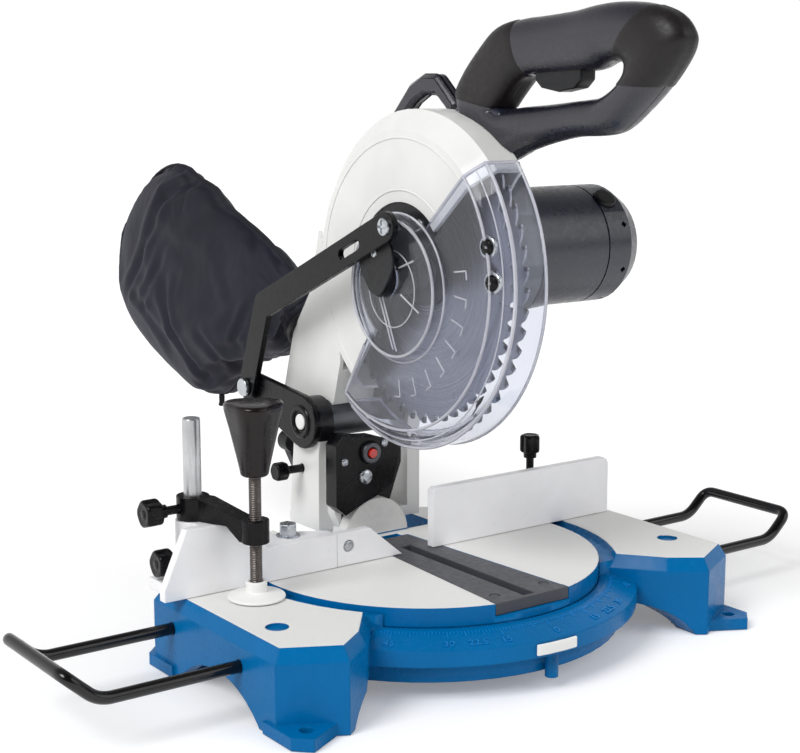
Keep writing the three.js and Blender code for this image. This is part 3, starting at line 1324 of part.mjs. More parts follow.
add("table_lock_knob", tableLockKnob(), "black", "plastic");

add("clamp_column", rod("z", [-outside(clamp.columnX), clamp.columnY], clamp.columnRadius,
  clamp.columnBottom, clamp.columnTop, 20), "steel", "metal");
add("clamp_arm", clampArm(), "black", "plastic");
add("clamp_screw", clampScrew(), "dark", "metal");
add("clamp_pad", clampPad(), "white", "plastic");
add("clamp_knob", clampKnob(), "black", "plastic");
add("column_lock_knob", sideLockKnob(lockKnob.columnHeight, 0), "black", "plastic");
add("arm_lock_knob", sideLockKnob(lockKnob.armHeight, lockKnob.armReach), "black", "plastic");

add("tilt_yoke", tiltYoke(), "white", "paint");
add("tilt_bolt", tiltBolt(), "steel", "metal");
add("hinge_pin", hingePin(), "dark", "metal");
add("bevel_lock_lever", bevelLockLever(), "black", "plastic");
add("transport_pin", transportPin(), "black", "plastic");
add("link_bracket", linkBracket(), "black", "paint");
add("lever_bolt", leverBolt(), "steel", "metal");
add("laser_bracket", laserBracket(), "black", "plastic");
add("laser_module", laserModule(), "dark", "metal");
add("laser_lens", laserLens(), "red", "glass");

add("head_arm", headArm(), "dark", "paint");
add("upper_guard", upperGuard(), "white", "paint");
add("guard_hub_plate", guardHubPlate(), "black", "plastic");
add("guard_hub_cap", guardHubCap(), "black", "plastic");
add("spindle_lock_button", spindleLockButton(), "black", "plastic");
add("lower_guard", lowerGuard(), "clear", "glass");
add("guard_lever", guardLever(), "black", "paint");

add("blade", blade(), "steel", "metal");
add("blade_flange", bladeFlange(), "dark", "metal");
add("arbor_shaft", arborShaft(), "steel", "metal");
add("arbor_bolt", arborBoltPiece(), "dark", "metal");
add("arbor_gear", wheelGear(), "steel", "metal");

add("motor_housing", motorHousing(), "black", "plastic");
add("motor_end_cap", motorEndCap(), "black", "plastic");
add("motor_stator", statorCore(), "copper", "metal");
add("motor_armature", armatureCore(), "dark", "metal");
add("motor_pinion", pinionGear(), "steel", "metal");
add("motor_commutator", onShaft(armature.commutator, armature.commLeft, armature.commRight, 24),
  "copper", "metal");
add("brush_cap", brushCap(brush.heading), "black", "plastic");

add("handle_left", handleShell(-1), "black", "plastic");
add("handle_right", handleShell(1), "black", "plastic");
add("trigger", handleTrigger(), "black", "plastic");
add("lock_off_button", lockOffButton(), "black", "plastic");
add("carry_handle", carryHandle(), "black", "plastic");
add("dust_port", dustPort(), "black", "plastic");
add("dust_bag", dustBag(), "cloth", "cloth");

export default saw;
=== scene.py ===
# Mitre saw on a pale studio floor: the CAD nodes with rounded edges and finishes, and
# detailed pieces in place of the bag, handle, knobs, bars, blade and clamp screw.
import json
from math import copysign, cos, exp, hypot, pi, radians, sin

import bmesh
import bpy
from mathutils import Matrix, Vector, noise


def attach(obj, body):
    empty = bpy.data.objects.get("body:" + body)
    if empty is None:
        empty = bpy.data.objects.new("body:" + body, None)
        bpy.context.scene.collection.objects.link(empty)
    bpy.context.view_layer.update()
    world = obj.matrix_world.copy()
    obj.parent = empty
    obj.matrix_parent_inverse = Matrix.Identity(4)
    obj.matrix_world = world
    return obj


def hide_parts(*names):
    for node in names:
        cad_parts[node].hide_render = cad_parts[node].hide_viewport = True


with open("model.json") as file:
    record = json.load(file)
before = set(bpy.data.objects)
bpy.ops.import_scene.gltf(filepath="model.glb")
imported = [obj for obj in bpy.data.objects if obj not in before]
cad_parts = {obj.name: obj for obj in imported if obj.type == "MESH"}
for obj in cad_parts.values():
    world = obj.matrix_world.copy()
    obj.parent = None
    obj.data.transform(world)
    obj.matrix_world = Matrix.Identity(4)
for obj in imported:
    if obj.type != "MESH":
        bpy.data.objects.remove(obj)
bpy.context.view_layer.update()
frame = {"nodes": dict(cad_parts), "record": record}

MM = 0.001
RECORD = frame["record"]
BODY = {node: body for body, nodes in RECORD["behaviour"]["bodies"].items() for node in nodes}
SLOT = {part["node"]: part["material_slot"] for part in RECORD["subparts"]}
PIVOT = Vector(next(joint["pos_m"] for joint in RECORD["behaviour"]["joints"]
                    if joint["name"] == "mitre_turn"))
X, Y, Z = Vector((1, 0, 0)), Vector((0, 1, 0)), Vector((0, 0, 1))


def at(x, y, z):
    """A place in millimetres from the turntable's pivot, at the height of the table top."""
    return PIVOT + Vector((x, y, z)) * MM


# Axes as at() takes them: y and z of the blade's and the hinge pin's, x and y of the clamp screw's
ARBOR = (-5.0, 200.0)
HINGE = (90.0, 85.0)
CLAMP = (-149, -20)
TABLE_EDGE = 132.0


def with_values(thing, **values):
    """The thing, once its properties have these values."""
    for key, value in values.items():
        setattr(thing, key, value)
    return thing


# Colours

def linear(value):
    """One sRGB channel from 0 to 255 as a linear number."""
    value = value / 255
    return value / 12.92 if value <= 0.04045 else ((value + 0.055) / 1.055) ** 2.4


def rgb(red, green, blue):
    return (linear(red), linear(green), linear(blue), 1.0)


def shade(colour, factor):
    return tuple(min(1.0, channel * factor) for channel in colour[:3]) + (1.0,)


# Materials

class Nodes:
    """A node tree, and the sums that masks and strengths are made with."""

    def __init__(self, tree):
        self.tree = tree

    def feed(self, target, value):
        """A socket gets a value of its own, or a link from another node."""
        if isinstance(value, bpy.types.NodeSocket):
            self.tree.links.new(value, target)
        else:
            target.default_value = value

    def node(self, kind, inputs=(), **settings):
        new = with_values(self.tree.nodes.new(kind), **settings)
        for socket, value in dict(inputs).items():
            self.feed(new.inputs[socket], value)
        return new

    def spread(self, factor, low, high, start=0.0, stop=1.0):
        """factor from start to stop becomes low to high."""
        limits = {"From Min": start, "From Max": stop, "To Min": low, "To Max": high}
        return self.node("ShaderNodeMapRange", {"Value": factor, **limits}).outputs["Result"]

    def calc(self, operation, first, second):
        values = {0: first, 1: second}
        return self.node("ShaderNodeMath", values, operation=operation).outputs[0]

    def part(self, vector, axis):
        return self.node("ShaderNodeSeparateXYZ", {0: vector}).outputs[axis]


class Look(Nodes):
    """A Principled material and the nodes that give it grain, specks and a bump."""

    def __init__(self, name, **inputs):
        self.material = bpy.data.materials.new(name)
        self.material.use_nodes = True
        super().__init__(self.material.node_tree)
        self.shader = self.tree.nodes["Principled BSDF"]
        for socket, value in inputs.items():
            self.put(socket.replace("_", " "), value)
        place = self.node("ShaderNodeTexCoord")
        self.place = place.outputs["Object"]
        self.facing = place.outputs["Normal"]
        self.normal = None

    def put(self, socket, value):
        """Into an input of the shader itself."""
        self.feed(self.shader.inputs[socket], value)

    def mapped(self, how, value):
        """The place after a "Scale" or "Rotation"."""
        inputs = {"Vector": self.place, how: value}
        return self.node("ShaderNodeMapping", inputs).outputs["Vector"]

    def noise(self, scale, detail=3.0, rough=0.5, stretch=None, source=None):
        place = source or (self.mapped("Scale", stretch) if stretch else self.place)
        inputs = {"Vector": place, "Scale": scale, "Detail": detail, "Roughness": rough}
        return self.node("ShaderNodeTexNoise", inputs).outputs["Fac"]

    def ramp(self, factor, low, high, start=0.3, stop=0.7):
        ramp = self.node("ShaderNodeValToRGB", {"Fac": factor})
        first, last = ramp.color_ramp.elements
        first.position, last.position = start, stop
        first.color, last.color = low, high
        return ramp.outputs["Color"]

    def within(self, axis, low, high, soft=0.2):
        """1 from low to high along an axis, in millimetres from the pivot, and 0 elsewhere."""
        value, start = self.part(self.place, axis), PIVOT["XYZ".index(axis)]
        rise = self.spread(value, 0.0, 1.0, start + (low - soft) * MM, start + (low + soft) * MM)
        fall = self.spread(value, 1.0, 0.0, start + (high - soft) * MM, start + (high + soft) * MM)
        return self.calc("MULTIPLY", rise, fall)

    def radius_from(self, centre, flatten):
        """Distance from a point, with the axes that flatten sets to 0 left out."""
        place = self.place
        for operation, value in (("SUBTRACT", centre), ("MULTIPLY", flatten)):
            inputs = {0: place, 1: value}
            place = self.node("ShaderNodeVectorMath", inputs, operation=operation).outputs[0]
        return self.node("ShaderNodeVectorMath", {0: place}, operation="LENGTH").outputs["Value"]

    def mixed(self, factor, first, second):
        mix = self.node("ShaderNodeMix", {"Factor": factor}, data_type="RGBA")
        for place, value in (("A", first), ("B", second)):
            self.feed([s for s in mix.inputs if s.name == place and s.type == "RGBA"][0], value)
        return [s for s in mix.outputs if s.type == "RGBA"][0]

    def rounded(self, radius):
        """Edges catch the light as if rounded by radius."""
        self.normal = self.node("ShaderNodeBevel", {"Radius": radius}, samples=4).outputs["Normal"]
        self.put("Normal", self.normal)

    def bump(self, height, distance, strength=1.0):
        inputs = {"Height": height, "Distance": distance, "Strength": strength}
        if self.normal is not None:
            inputs["Normal"] = self.normal
        self.normal = self.node("ShaderNodeBump", inputs).outputs["Normal"]
        self.put("Normal", self.normal)

    def colour(self, source):
        self.put("Base Color", source)

    def roughness(self, source, low, high):
        """Roughness from low to high, after a noise."""
        self.put("Roughness", self.spread(source, low, high, 0.3, 0.7))


def paint_colour(look, colour, spread=0.05):
    """The colour, in patches that are a little darker and lighter."""
    return look.ramp(look.noise(22, 4), shade(colour, 1 - spread), shade(colour, 1 + spread))


def gloss_paint(name, colour, rough=0.3, peel=0.00004, level=0.3, coat=0.2, edge=0.6):
    look = Look(name, Roughness=rough, Coat_Weight=coat, Coat_Roughness=0.08,
                Specular_IOR_Level=level)
    look.rounded(edge * MM)
    look.colour(paint_colour(look, colour))
    look.roughness(look.noise(160, 3), rough - 0.05, rough + 0.12)
    look.bump(look.noise(420, 2), peel)
    return look


def plastic(name, colour, rough=0.42, grain=0.00005, scale=1600, level=0.35, spread=0.15, **inputs):
    look = Look(name, Roughness=rough, Specular_IOR_Level=level, **inputs)
    look.rounded(0.5 * MM)
    look.colour(paint_colour(look, colour, spread))
    look.roughness(look.noise(260, 3), rough - 0.06, rough + 0.1)
    look.bump(look.noise(scale, 2, 0.6), grain)
    return look.material


def metal(name, colour, rough=0.28, stretch=(1, 1, 1), scale=400, grain=0.00001):
    look = Look(name, Metallic=1.0, Roughness=rough)
    look.rounded(0.3 * MM)
    brushed = look.noise(scale, 3, 0.6, stretch)
    look.colour(look.ramp(look.noise(60, 3), shade(colour, 0.88), shade(colour, 1.06)))
    look.roughness(brushed, rough - 0.08, rough + 0.14)
    look.bump(brushed, grain)
    return look.material


BLUE = rgb(0, 102, 162)
WHITE = rgb(233, 233, 231)
BLACK = rgb(15, 16, 20)
MACHINED = rgb(232, 232, 230)
CLEAR = rgb(226, 229, 239)


def machined_top(look, mask):
    """Bare milled metal where mask is 1, over the blue paint elsewhere."""
    brushed = look.noise(240, 3, 0.6, (1, 9, 1))
    bare = look.ramp(brushed, shade(MACHINED, 0.93), MACHINED)
    look.colour(look.mixed(mask, paint_colour(look, BLUE), bare))
    painted = look.spread(look.noise(160, 3), 0.2, 0.32, 0.3, 0.7)
    milled = look.spread(brushed, 0.34, 0.5, 0.3, 0.7)
    rough = look.node("ShaderNodeMix", {0: mask, 2: painted, 3: milled}, data_type="FLOAT")
    look.put("Roughness", rough.outputs[0])


def casting_material(name, is_base):
    """Blue gloss paint on a casting with milled top faces: those of the base outside the
    turntable's edge, and on the turntable also everything above its top."""
    look = gloss_paint(name, BLUE, 0.26, 0.00002, level=0.1, coat=0.03, edge=1.5)
    up = look.spread(look.part(look.facing, "Z"), 0.0, 1.0, 0.9, 0.97)
    mask = look.calc("MULTIPLY", look.within("Z", -0.45, 5, 0.05), up)
    if is_base:
        reach = look.radius_from(tuple(PIVOT), (1, 1, 0))
        outside = look.spread(reach, 0.0, 1.0, (TABLE_EDGE - 0.5) * MM, (TABLE_EDGE + 0.5) * MM)
        mask = look.calc("MULTIPLY", mask, outside)
    else:
        mask = look.calc("MAXIMUM", mask, look.within("Z", 1, 60, 0.05))
    machined_top(look, mask)
    return look.material


def yoke_material():
    """White cast yoke whose front plate and left hinge cheek are painted black."""
    look = gloss_paint("yoke_paint", WHITE, 0.35, 0.00005)
    plate = look.calc("MULTIPLY", look.within("Y", 60, 76.4), look.within("X", -24.5, 31))
    cheek = look.calc("MULTIPLY", look.within("Z", 72, 140), look.within("X", -60, 0))
    dark = look.calc("MAXIMUM", plate, cheek)
    black = look.ramp(look.noise(30, 3), rgb(18, 18, 21), rgb(27, 27, 31))
    look.colour(look.mixed(dark, paint_colour(look, WHITE, 0.02), black))
    return look.material


def blade_material():
    """Ground steel with circular scratches and broader, fainter rings."""
    look = Look("ground_steel", Metallic=1.0, Roughness=0.3, Anisotropic=0.85)
    reach = look.radius_from(tuple(at(0, *ARBOR)), (0, 1, 1))
    ringed = look.node("ShaderNodeCombineXYZ", {0: reach}).outputs[0]
    rings = look.noise(2600, 2, 0.6, source=ringed)
    broad = look.noise(340, 2, 0.5, source=ringed)
    colour = rgb(160, 162, 171)
    both = look.calc("ADD", look.calc("MULTIPLY", rings, 0.5), look.calc("MULTIPLY", broad, 0.5))
    look.colour(look.ramp(both, shade(colour, 0.82), shade(colour, 1.1), 0.35, 0.65))
    look.roughness(rings, 0.22, 0.34)
    look.bump(rings, 0.000004)
    tangent = look.node("ShaderNodeTangent", direction_type="RADIAL", axis="X")
    look.put("Tangent", tangent.outputs["Tangent"])
    return look.material


def clear_plastic(name, low, high, scales, strength, **inputs):
    """Clear or milky plastic, faintly uneven."""
    look = Look(name, **inputs)
    look.colour(look.ramp(look.noise(scales[0], 3), low, high))
    look.bump(look.noise(scales[1], 3), 0.0002, strength)
    return look.material


def lens_material():
    look = Look("red_lens", Roughness=0.08, Coat_Weight=0.6)
    colour = rgb(206, 40, 28)
    look.colour(look.ramp(look.noise(300, 2), shade(colour, 0.7), colour))
    return look.material


def cloth_material():
    """Fine plain-woven nylon: crossed threads, a soft sheen and faint patches."""
    look = Look("bag_cloth", Roughness=0.6, Sheen_Weight=0.1, Sheen_Roughness=0.45,
                Sheen_Tint=rgb(150, 155, 175), Specular_IOR_Level=0.25)
    colour = rgb(25, 25, 38)
    patches = look.noise(14, 5, 0.6)
    look.colour(look.ramp(patches, shade(colour, 0.82), shade(colour, 1.18)))
    for turn in (0.6, 0.6 + pi / 2):
        place = look.mapped("Rotation", (turn, 0, 0))
        wave = look.node("ShaderNodeTexWave", {"Vector": place, "Scale": 420, "Distortion": 0.4},
                         wave_type="BANDS", bands_direction="Y")
        look.bump(wave.outputs["Fac"], 0.00006, 0.5)
    look.bump(look.noise(70, 4, 0.6), 0.0007, 0.35)
    return look.material


MATERIALS = {
    "blue": casting_material("blue_casting", True),
    "table": casting_material("table_casting", False),
    "white": gloss_paint("white_paint", WHITE, 0.36, level=0.35).material,
    "fence": gloss_paint("fence_paint", rgb(246, 246, 248), 0.32, 0.00003, level=0.35).material,
    "black_gloss": gloss_paint("black_paint", rgb(9, 9, 12), 0.24, level=0.22, coat=0).material,
    "bar": gloss_paint("bar_paint", rgb(11, 11, 13), 0.14, 0.00002, level=0.45, coat=0.1).material,
    "black": plastic("black_plastic", BLACK, 0.4, 0.00006, 1500),
    "slate": plastic("slate_plastic", rgb(28, 31, 47), 0.3, 0.000015, 1800, 0.8),
    "rubber": plastic("handle_rubber", rgb(24, 24, 37), 0.28, 0.000015, 1100, 0.8),
    "grip": plastic("grip_rubber", rgb(23, 18, 19), 0.42, 0.0001, 700, 0.4),
    "brown": plastic("knob_plastic", rgb(22, 15, 15), 0.2, 0.00002, 700, 0.3,
                     Coat_Weight=0.05, Coat_Roughness=0.1),
    "grey": plastic("grey_plastic", rgb(72, 73, 79), 0.4, 0.00004, 1400),
    "white_plastic": plastic("white_plastic", rgb(236, 236, 234), 0.4, spread=0.03),
    "yoke": yoke_material(),
    "steel": metal("steel", rgb(196, 200, 205), 0.24),
    "tube": metal("plated_tube", rgb(205, 206, 208), 0.34, (1, 1, 0.08), 900),
    "dark_steel": metal("dark_steel", rgb(96, 98, 103), 0.36),
    "thread": metal("thread_steel", rgb(112, 106, 103), 0.4),
    "copper": metal("copper", rgb(190, 120, 72), 0.3),
    "casting": metal("arm_casting", rgb(120, 123, 128), 0.5, scale=700, grain=0.00006),
    "blade": blade_material(),
    "clear": clear_plastic("clear_guard", shade(CLEAR, 0.95), CLEAR, (18, 30), 0.3,
                           Roughness=0.03, Transmission_Weight=0.97, IOR=1.33),
    # The guard's moulded rims, ribs and marks are real beads. Their whiter, half-clear plastic is a
    # painted highlight for the light they catch.
    "clear_rim_painted_highlight": clear_plastic("clear_rim_painted_highlight", rgb(226, 227, 238), rgb(245, 245, 250), (40, 90), 0.4,
                               Roughness=0.12, Transmission_Weight=0.55, IOR=1.4),
    "red": lens_material(),
    "cloth": cloth_material(),
    "piping": plastic("bag_piping", rgb(34, 34, 40), 0.7, 0.0001, 900, 0.2),
    # The scale's raised ticks and figures: the blue paint made half again as light, a painted
    # highlight on the raised marks.
    "raised_blue_painted_highlight": gloss_paint("raised_blue_painted_highlight", shade(BLUE, 1.5), 0.32).material,
}
# The finish of a slot or of one node, where it isn't the one named like the slot
SLOT_MATERIAL = {
    "blue_paint": "blue", "white_paint": "white", "machined_alloy": "table",
    "arm_casting": "casting", "black_paint": "black_gloss", "black_plastic": "black",
    "grey_plastic": "grey", "clear_plastic": "clear", "red_lens": "red", "bag_cloth": "cloth",
}
NODE_MATERIAL = {
    "tilt_yoke": "yoke", "clamp_column": "tube", "laser_bracket": "black_gloss",
    "clamp_arm": "black_gloss", "motor_housing": "slate", "motor_end_cap": "slate",
    "carry_handle": "rubber", "fence_right": "fence", "fence_left": "fence",
    "fence_end_piece": "fence",
}


def finish(node):
    return NODE_MATERIAL.get(node) or SLOT_MATERIAL.get(SLOT[node], SLOT[node])


# Mesh helpers

def placed(name, data):
    obj = bpy.data.objects.new(name, data)
    bpy.context.collection.objects.link(obj)
    return obj


def smoothed(mesh, degrees=35):
    """Smooth shading, but for edges sharper than an angle."""
    mesh.polygons.foreach_set("use_smooth", [True] * len(mesh.polygons))
    mesh.set_sharp_from_angle(angle=radians(degrees))
    return mesh


def made(name, points, faces, degrees=35):
    """A new object whose faces all point outwards."""
    mesh = bpy.data.meshes.new(name)
    mesh.from_pydata([tuple(point) for point in points], [], faces)
    shell = bmesh.new()
    shell.from_mesh(mesh)
    bmesh.ops.recalc_face_normals(shell, faces=shell.faces)
    shell.to_mesh(mesh)
    shell.free()
    return placed(name, smoothed(mesh, degrees))


def evaluated(obj):
    """A new mesh, with the object's modifiers or text made real."""
    graph = bpy.context.evaluated_depsgraph_get()
    return bpy.data.meshes.new_from_object(obj.evaluated_get(graph))


def baked(obj, degrees=None):
    """The object's modifiers become its mesh."""
    mesh = evaluated(obj)
    obj.modifiers.clear()
    obj.data = mesh
    if degrees:
        smoothed(mesh, degrees)
    return obj


def added(obj, material, node):
    """The piece joins the CAD node's body, with the given material."""
    obj.data.materials.clear()
    obj.data.materials.append(MATERIALS[material])
    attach(obj, BODY[node])


def stands_for(obj, node, material=None):
    """The piece takes the CAD node's place."""
    added(obj, material or finish(node), node)
    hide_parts(node)


def ring_faces(count, sides, closed=False):
    """Quads between rings of points, and end caps where the rings don't close on themselves."""
    faces = []
    for k in range(count if closed else count - 1):
        near, far = k * sides, (k + 1) % count * sides
        for i in range(sides):
            after = (i + 1) % sides
            faces.append((near + i, near + after, far + after, far + i))
    if not closed:
        faces.append(tuple(range(sides)))
        faces.append(tuple((count - 1) * sides + i for i in range(sides)))
    return faces


def prisms(count):
    """The faces of separate six-sided pieces, each with its own eight points."""
    return [tuple(8 * k + i for i in face) for k in range(count)
            for face in ring_faces(2, 4)]


# For each direction of an axis: along it, and two directions across it
ACROSS = {"x": (X, Y, Z), "z": (Z, X, Y), "front": (-Y, X, Z), "left": (-X, -Y, Z)}


def lathe(name, start, axis, profile, sides=48, lobe=None, degrees=35):
    """A solid turned about an axis: profile is (distance from start, radius) in millimetres."""
    along, side, up = ACROSS[axis] if isinstance(axis, str) else axis
    points = []
    for distance, radius in profile:
        for i in range(sides):
            turn = 2 * pi * i / sides
            reach = radius * (lobe(turn, distance) if lobe else 1)
            outwards = side * cos(turn) + up * sin(turn)
            points.append(start + (along * distance + outwards * reach) * MM)
    return made(name, points, ring_faces(len(profile), sides), degrees)


def smooth_between(values, steps, closed=False):
    """Catmull-Rom points through tuples of numbers."""
    count = len(values)
    result = []
    for k in range(count if closed else count - 1):
        four = [values[j % count] if closed else values[min(max(j, 0), count - 1)]
                for j in (k - 1, k, k + 1, k + 2)]
        for step in range(steps):
            t = step / steps
            result.append(tuple(
                0.5 * (2 * b + (c - a) * t + (2 * a - 5 * b + 4 * c - d) * t ** 2
                       + (3 * b - a - 3 * c + d) * t ** 3)
                for a, b, c, d in zip(*four)))
    if not closed:
        result.append(tuple(values[-1]))
    return result


def sweep(name, path, radius, sides=20, degrees=60):
    """A round bar along a path of places."""
    side = Z
    points = []
    for k, place in enumerate(path):
        ahead = (path[min(k + 1, len(path) - 1)] - path[max(k - 1, 0)]).normalized()
        side = (side - ahead * side.dot(ahead)).normalized()
        up = ahead.cross(side)
        for i in range(sides):
            turn = 2 * pi * i / sides
            points.append(place + (side * cos(turn) + up * sin(turn)) * radius * MM)
    return made(name, points, ring_faces(len(path), sides), degrees)


def refined(node, width, segments, limit=32):
    """A copy of a CAD node with its edges rounded by width millimetres and its curves smooth."""
    mesh = frame["nodes"][node].data.copy()
    shell = bmesh.new()
    shell.from_mesh(mesh)
    bmesh.ops.remove_doubles(shell, verts=shell.verts, dist=2e-6)
    bmesh.ops.dissolve_limit(shell, angle_limit=radians(0.7), verts=shell.verts,
                             edges=shell.edges)
    shell.to_mesh(mesh)
    shell.free()
    obj = placed(node + "_finished", mesh)
    if width:
        with_values(obj.modifiers.new("edges", "BEVEL"), width=width * MM, segments=segments,
                    limit_method="ANGLE", angle_limit=radians(limit), use_clamp_overlap=False)
        baked(obj)
    smoothed(obj.data, 50 if width else limit)
    obj.modifiers.new("shading", "WEIGHTED_NORMAL").keep_sharp = True
    return baked(obj)


def cut_by(obj, *others, degrees=None):
    """The other objects are taken out of this one, and are gone."""
    for other in others:
        with_values(obj.modifiers.new("cut", "BOOLEAN"), operation="DIFFERENCE", solver="EXACT",
                    object=other)
    baked(obj, degrees)
    for other in others:
        bpy.data.objects.remove(other)


def block(name, low, high):
    """A box between two corners, used only to cut with."""
    corners = [at(x, y, z) for z in (low[2], high[2]) for x, y in
               ((low[0], low[1]), (high[0], low[1]), (high[0], high[1]), (low[0], high[1]))]
    return made(name, corners, ring_faces(2, 4))


# Rounded copies of the CAD nodes

# Width of the rounding in millimetres, and the nodes that have it
ROUNDING = {
    3.4: "carry_handle",
    1.2: "brush_cap clamp_column dust_port motor_housing trigger lock_off_button "
         "spindle_lock_button laser_module link_bracket hinge_pin",
    0.8: "fence_end_piece clamp_pad guard_hub_cap arbor_bolt mitre_index_plate lever_bolt "
         "tilt_bolt fence_bolt_left fence_bolt_right fence_block_bolt fence_end_bolt pivot_bolt",
    0.5: "laser_bracket insert_screw_1 insert_screw_2 kerf_insert laser_lens motor_pinion "
         "fence_right fence_left tilt_yoke clamp_arm guard_lever bevel_lock_lever",
    0: "base_casting turntable upper_guard lower_guard head_arm motor_end_cap guard_hub_plate "
       "arbor_gear arbor_shaft blade_flange motor_armature motor_stator motor_commutator",
}

for width, names in ROUNDING.items():
    for node in names.split():
        stands_for(refined(node, width, 4 if width > 2 else 2), node)


# Dust bag

BAG_X, BAG_HALF = -4.0, 33.0
BAG_CORNER, BAG_SIZE = (129.7, 76.0), (309.3, 185.0)
BAG_LOOSENESS = 0.8
# From the neck to the far end, as shares of BAG_SIZE and BAG_HALF: the upper edge's y and z,
# the lower edge's y and z, the half width, and how square the section is
BAG_SECTIONS = [
    (0, 0.497, 0.076, 0.324, 0.606, 2.3), (0.066, 0.573, 0.137, 0.259, 0.667, 2.3),
    (0.163, 0.67, 0.25, 0.205, 0.818, 2.4), (0.247, 0.735, 0.35, 0.097, 0.939, 2.5),
    (0.344, 0.8, 0.437, 0, 1, 2.5), (0.418, 0.849, 0.518, 0, 1, 2.5),
    (0.479, 0.914, 0.625, 0.054, 1, 2.5), (0.56, 0.951, 0.758, 0.141, 1, 2.5),
    (0.618, 0.989, 0.848, 0.216, 0.97, 2.5), (0.686, 1, 0.913, 0.292, 0.909, 2.4),
    (0.761, 0.978, 0.961, 0.373, 0.818, 2.3), (0.822, 0.935, 0.987, 0.454, 0.697, 2.2),
    (0.887, 0.854, 1, 0.541, 0.515, 2.1), (0.945, 0.746, 0.99, 0.632, 0.273, 2.0),
]


def oval(turn, square):
    """Cosine and sine on a ring that is round for 2 and squarer above."""
    return [copysign(abs(value) ** (2 / square), value)
            for value in (cos(turn), sin(turn))]


def bag_point(section, turn):
    """A place on the bag's shell: a section of the loft, and a turn from its upper edge."""
    top_y, top_z, low_y, low_z, half, square = section
    c, s = oval(turn, square)
    y = (top_y + low_y) / 2 + (top_y - low_y) / 2 * c
    z = (top_z + low_z) / 2 + (top_z - low_z) / 2 * c
    return at(BAG_X + half * BAG_HALF * s, BAG_CORNER[0] + y * BAG_SIZE[0],
              BAG_CORNER[1] + z * BAG_SIZE[1])


def bag_relief(place, turn):
    """How far in millimetres the cloth stands out from the loft before it settles."""
    spot = place / MM
    lumps = 4.0 * noise.noise(spot * 0.016 + Vector((3, 1, 7)))
    smaller = 1.6 * noise.noise(spot * 0.04 + Vector((8, 2, 5)))
    return (lumps + smaller) * abs(sin(turn))


# Creases in the cloth, from place to place in y and z, with their width and depth
CREASES = [
    ((285, 261), (330, 232), 5.0, 3.6), ((330, 232), (373, 162), 5.0, 3.8),
    ((308, 250), (300, 231), 3.5, 1.8), ((307, 159), (292, 129), 4.0, 3.0),
    ((292, 129), (266, 99), 4.0, 3.0), ((245, 125), (231, 109), 3.5, 2.4),
    ((177, 178), (208, 203), 4.0, 2.8), ((201, 131), (192, 151), 3.5, 2.4),
    ((147, 215), (122, 194), 4.0, 2.6), ((357, 152), (310, 114), 5.0, 2.6),
    ((172, 206), (139, 177), 4.5, 2.8), ((243, 249), (189, 224), 4.0, 1.8),
    ((342, 146), (322, 181), 4.0, 2.0), ((262, 140), (228, 150), 5.0, 1.6),
    ((218, 118), (176, 132), 3.5, 2.4), ((186, 112), (160, 140), 3.5, 2.2),
    ((340, 205), (280, 190), 6.0, 1.4), ((240, 205), (215, 170), 6.0, 1.4),
]


def crease_depth(y, z):
    """The cloth's relief in millimetres at a place on the bag's side."""
    total = 0.0
    for (y0, z0), (y1, z1), wide, deep in CREASES:
        dy, dz = y1 - y0, z1 - z0
        length = hypot(dy, dz)
        share = ((y - y0) * dy + (z - z0) * dz) / length ** 2
        off = ((y - y0) * dz - (z - z0) * dy) / length
        fade = exp(-(max(0.0, -share, share - 1) * length / (2.5 * wide)) ** 2)
        valley = exp(-(off / wide) ** 2)
        ridge = exp(-((abs(off) - 2.1 * wide) / (1.1 * wide)) ** 2)
        total += deep * fade * (0.75 * ridge - valley)
    return total


def creased(mesh):
    """Sewn edges stay, and the sides between them take the creases and finer wrinkles."""
    normals = [vertex.normal.copy() for vertex in mesh.vertices]
    for vertex, normal in zip(mesh.vertices, normals):
        spot = (vertex.co - PIVOT) / MM
        wander = noise.noise(spot * 0.03) * 6
        depth = crease_depth(spot.y + wander, spot.z - wander)
        fine = noise.noise(spot * 0.075 + Vector((2, 9, 4)))
        depth = 0.6 * depth + 0.5 * (0.5 - abs(fine)) + 0.15 * noise.noise(spot * 0.16)
        side = min(1.0, abs(spot.x - BAG_X) / 8)
        vertex.co += normal * depth * side * MM
    mesh.update()


def settled(obj, held, cap=6.0, frames=14):
    """The cloth, a little too large for its shape, settles into wrinkles under light pressure,
    and no point of it moves by more than cap millimetres."""
    start = [vertex.co.copy() for vertex in obj.data.vertices]
    obj.vertex_groups.new(name="held").add(held, 1.0, "REPLACE")
    cloth = obj.modifiers.new("cloth", "CLOTH")
    with_values(cloth.settings, vertex_group_mass="held", quality=6, mass=0.2,
                tension_stiffness=12, compression_stiffness=12, bending_stiffness=0.4,
                shrink_min=-0.05, use_pressure=True, uniform_pressure_force=0.5)
    cloth.settings.effector_weights.gravity = 0.15
    scene = bpy.context.scene
    for step in range(1, frames + 1):
        scene.frame_set(step)
    mesh = evaluated(obj)
    obj.modifiers.clear()
    scene.frame_set(1)
    for vertex, before in zip(mesh.vertices, start):
        moved = vertex.co - before
        if moved.length > cap * MM:
            vertex.co = before + moved.normalized() * cap * MM
    obj.data = mesh
    obj.vertex_groups.clear()


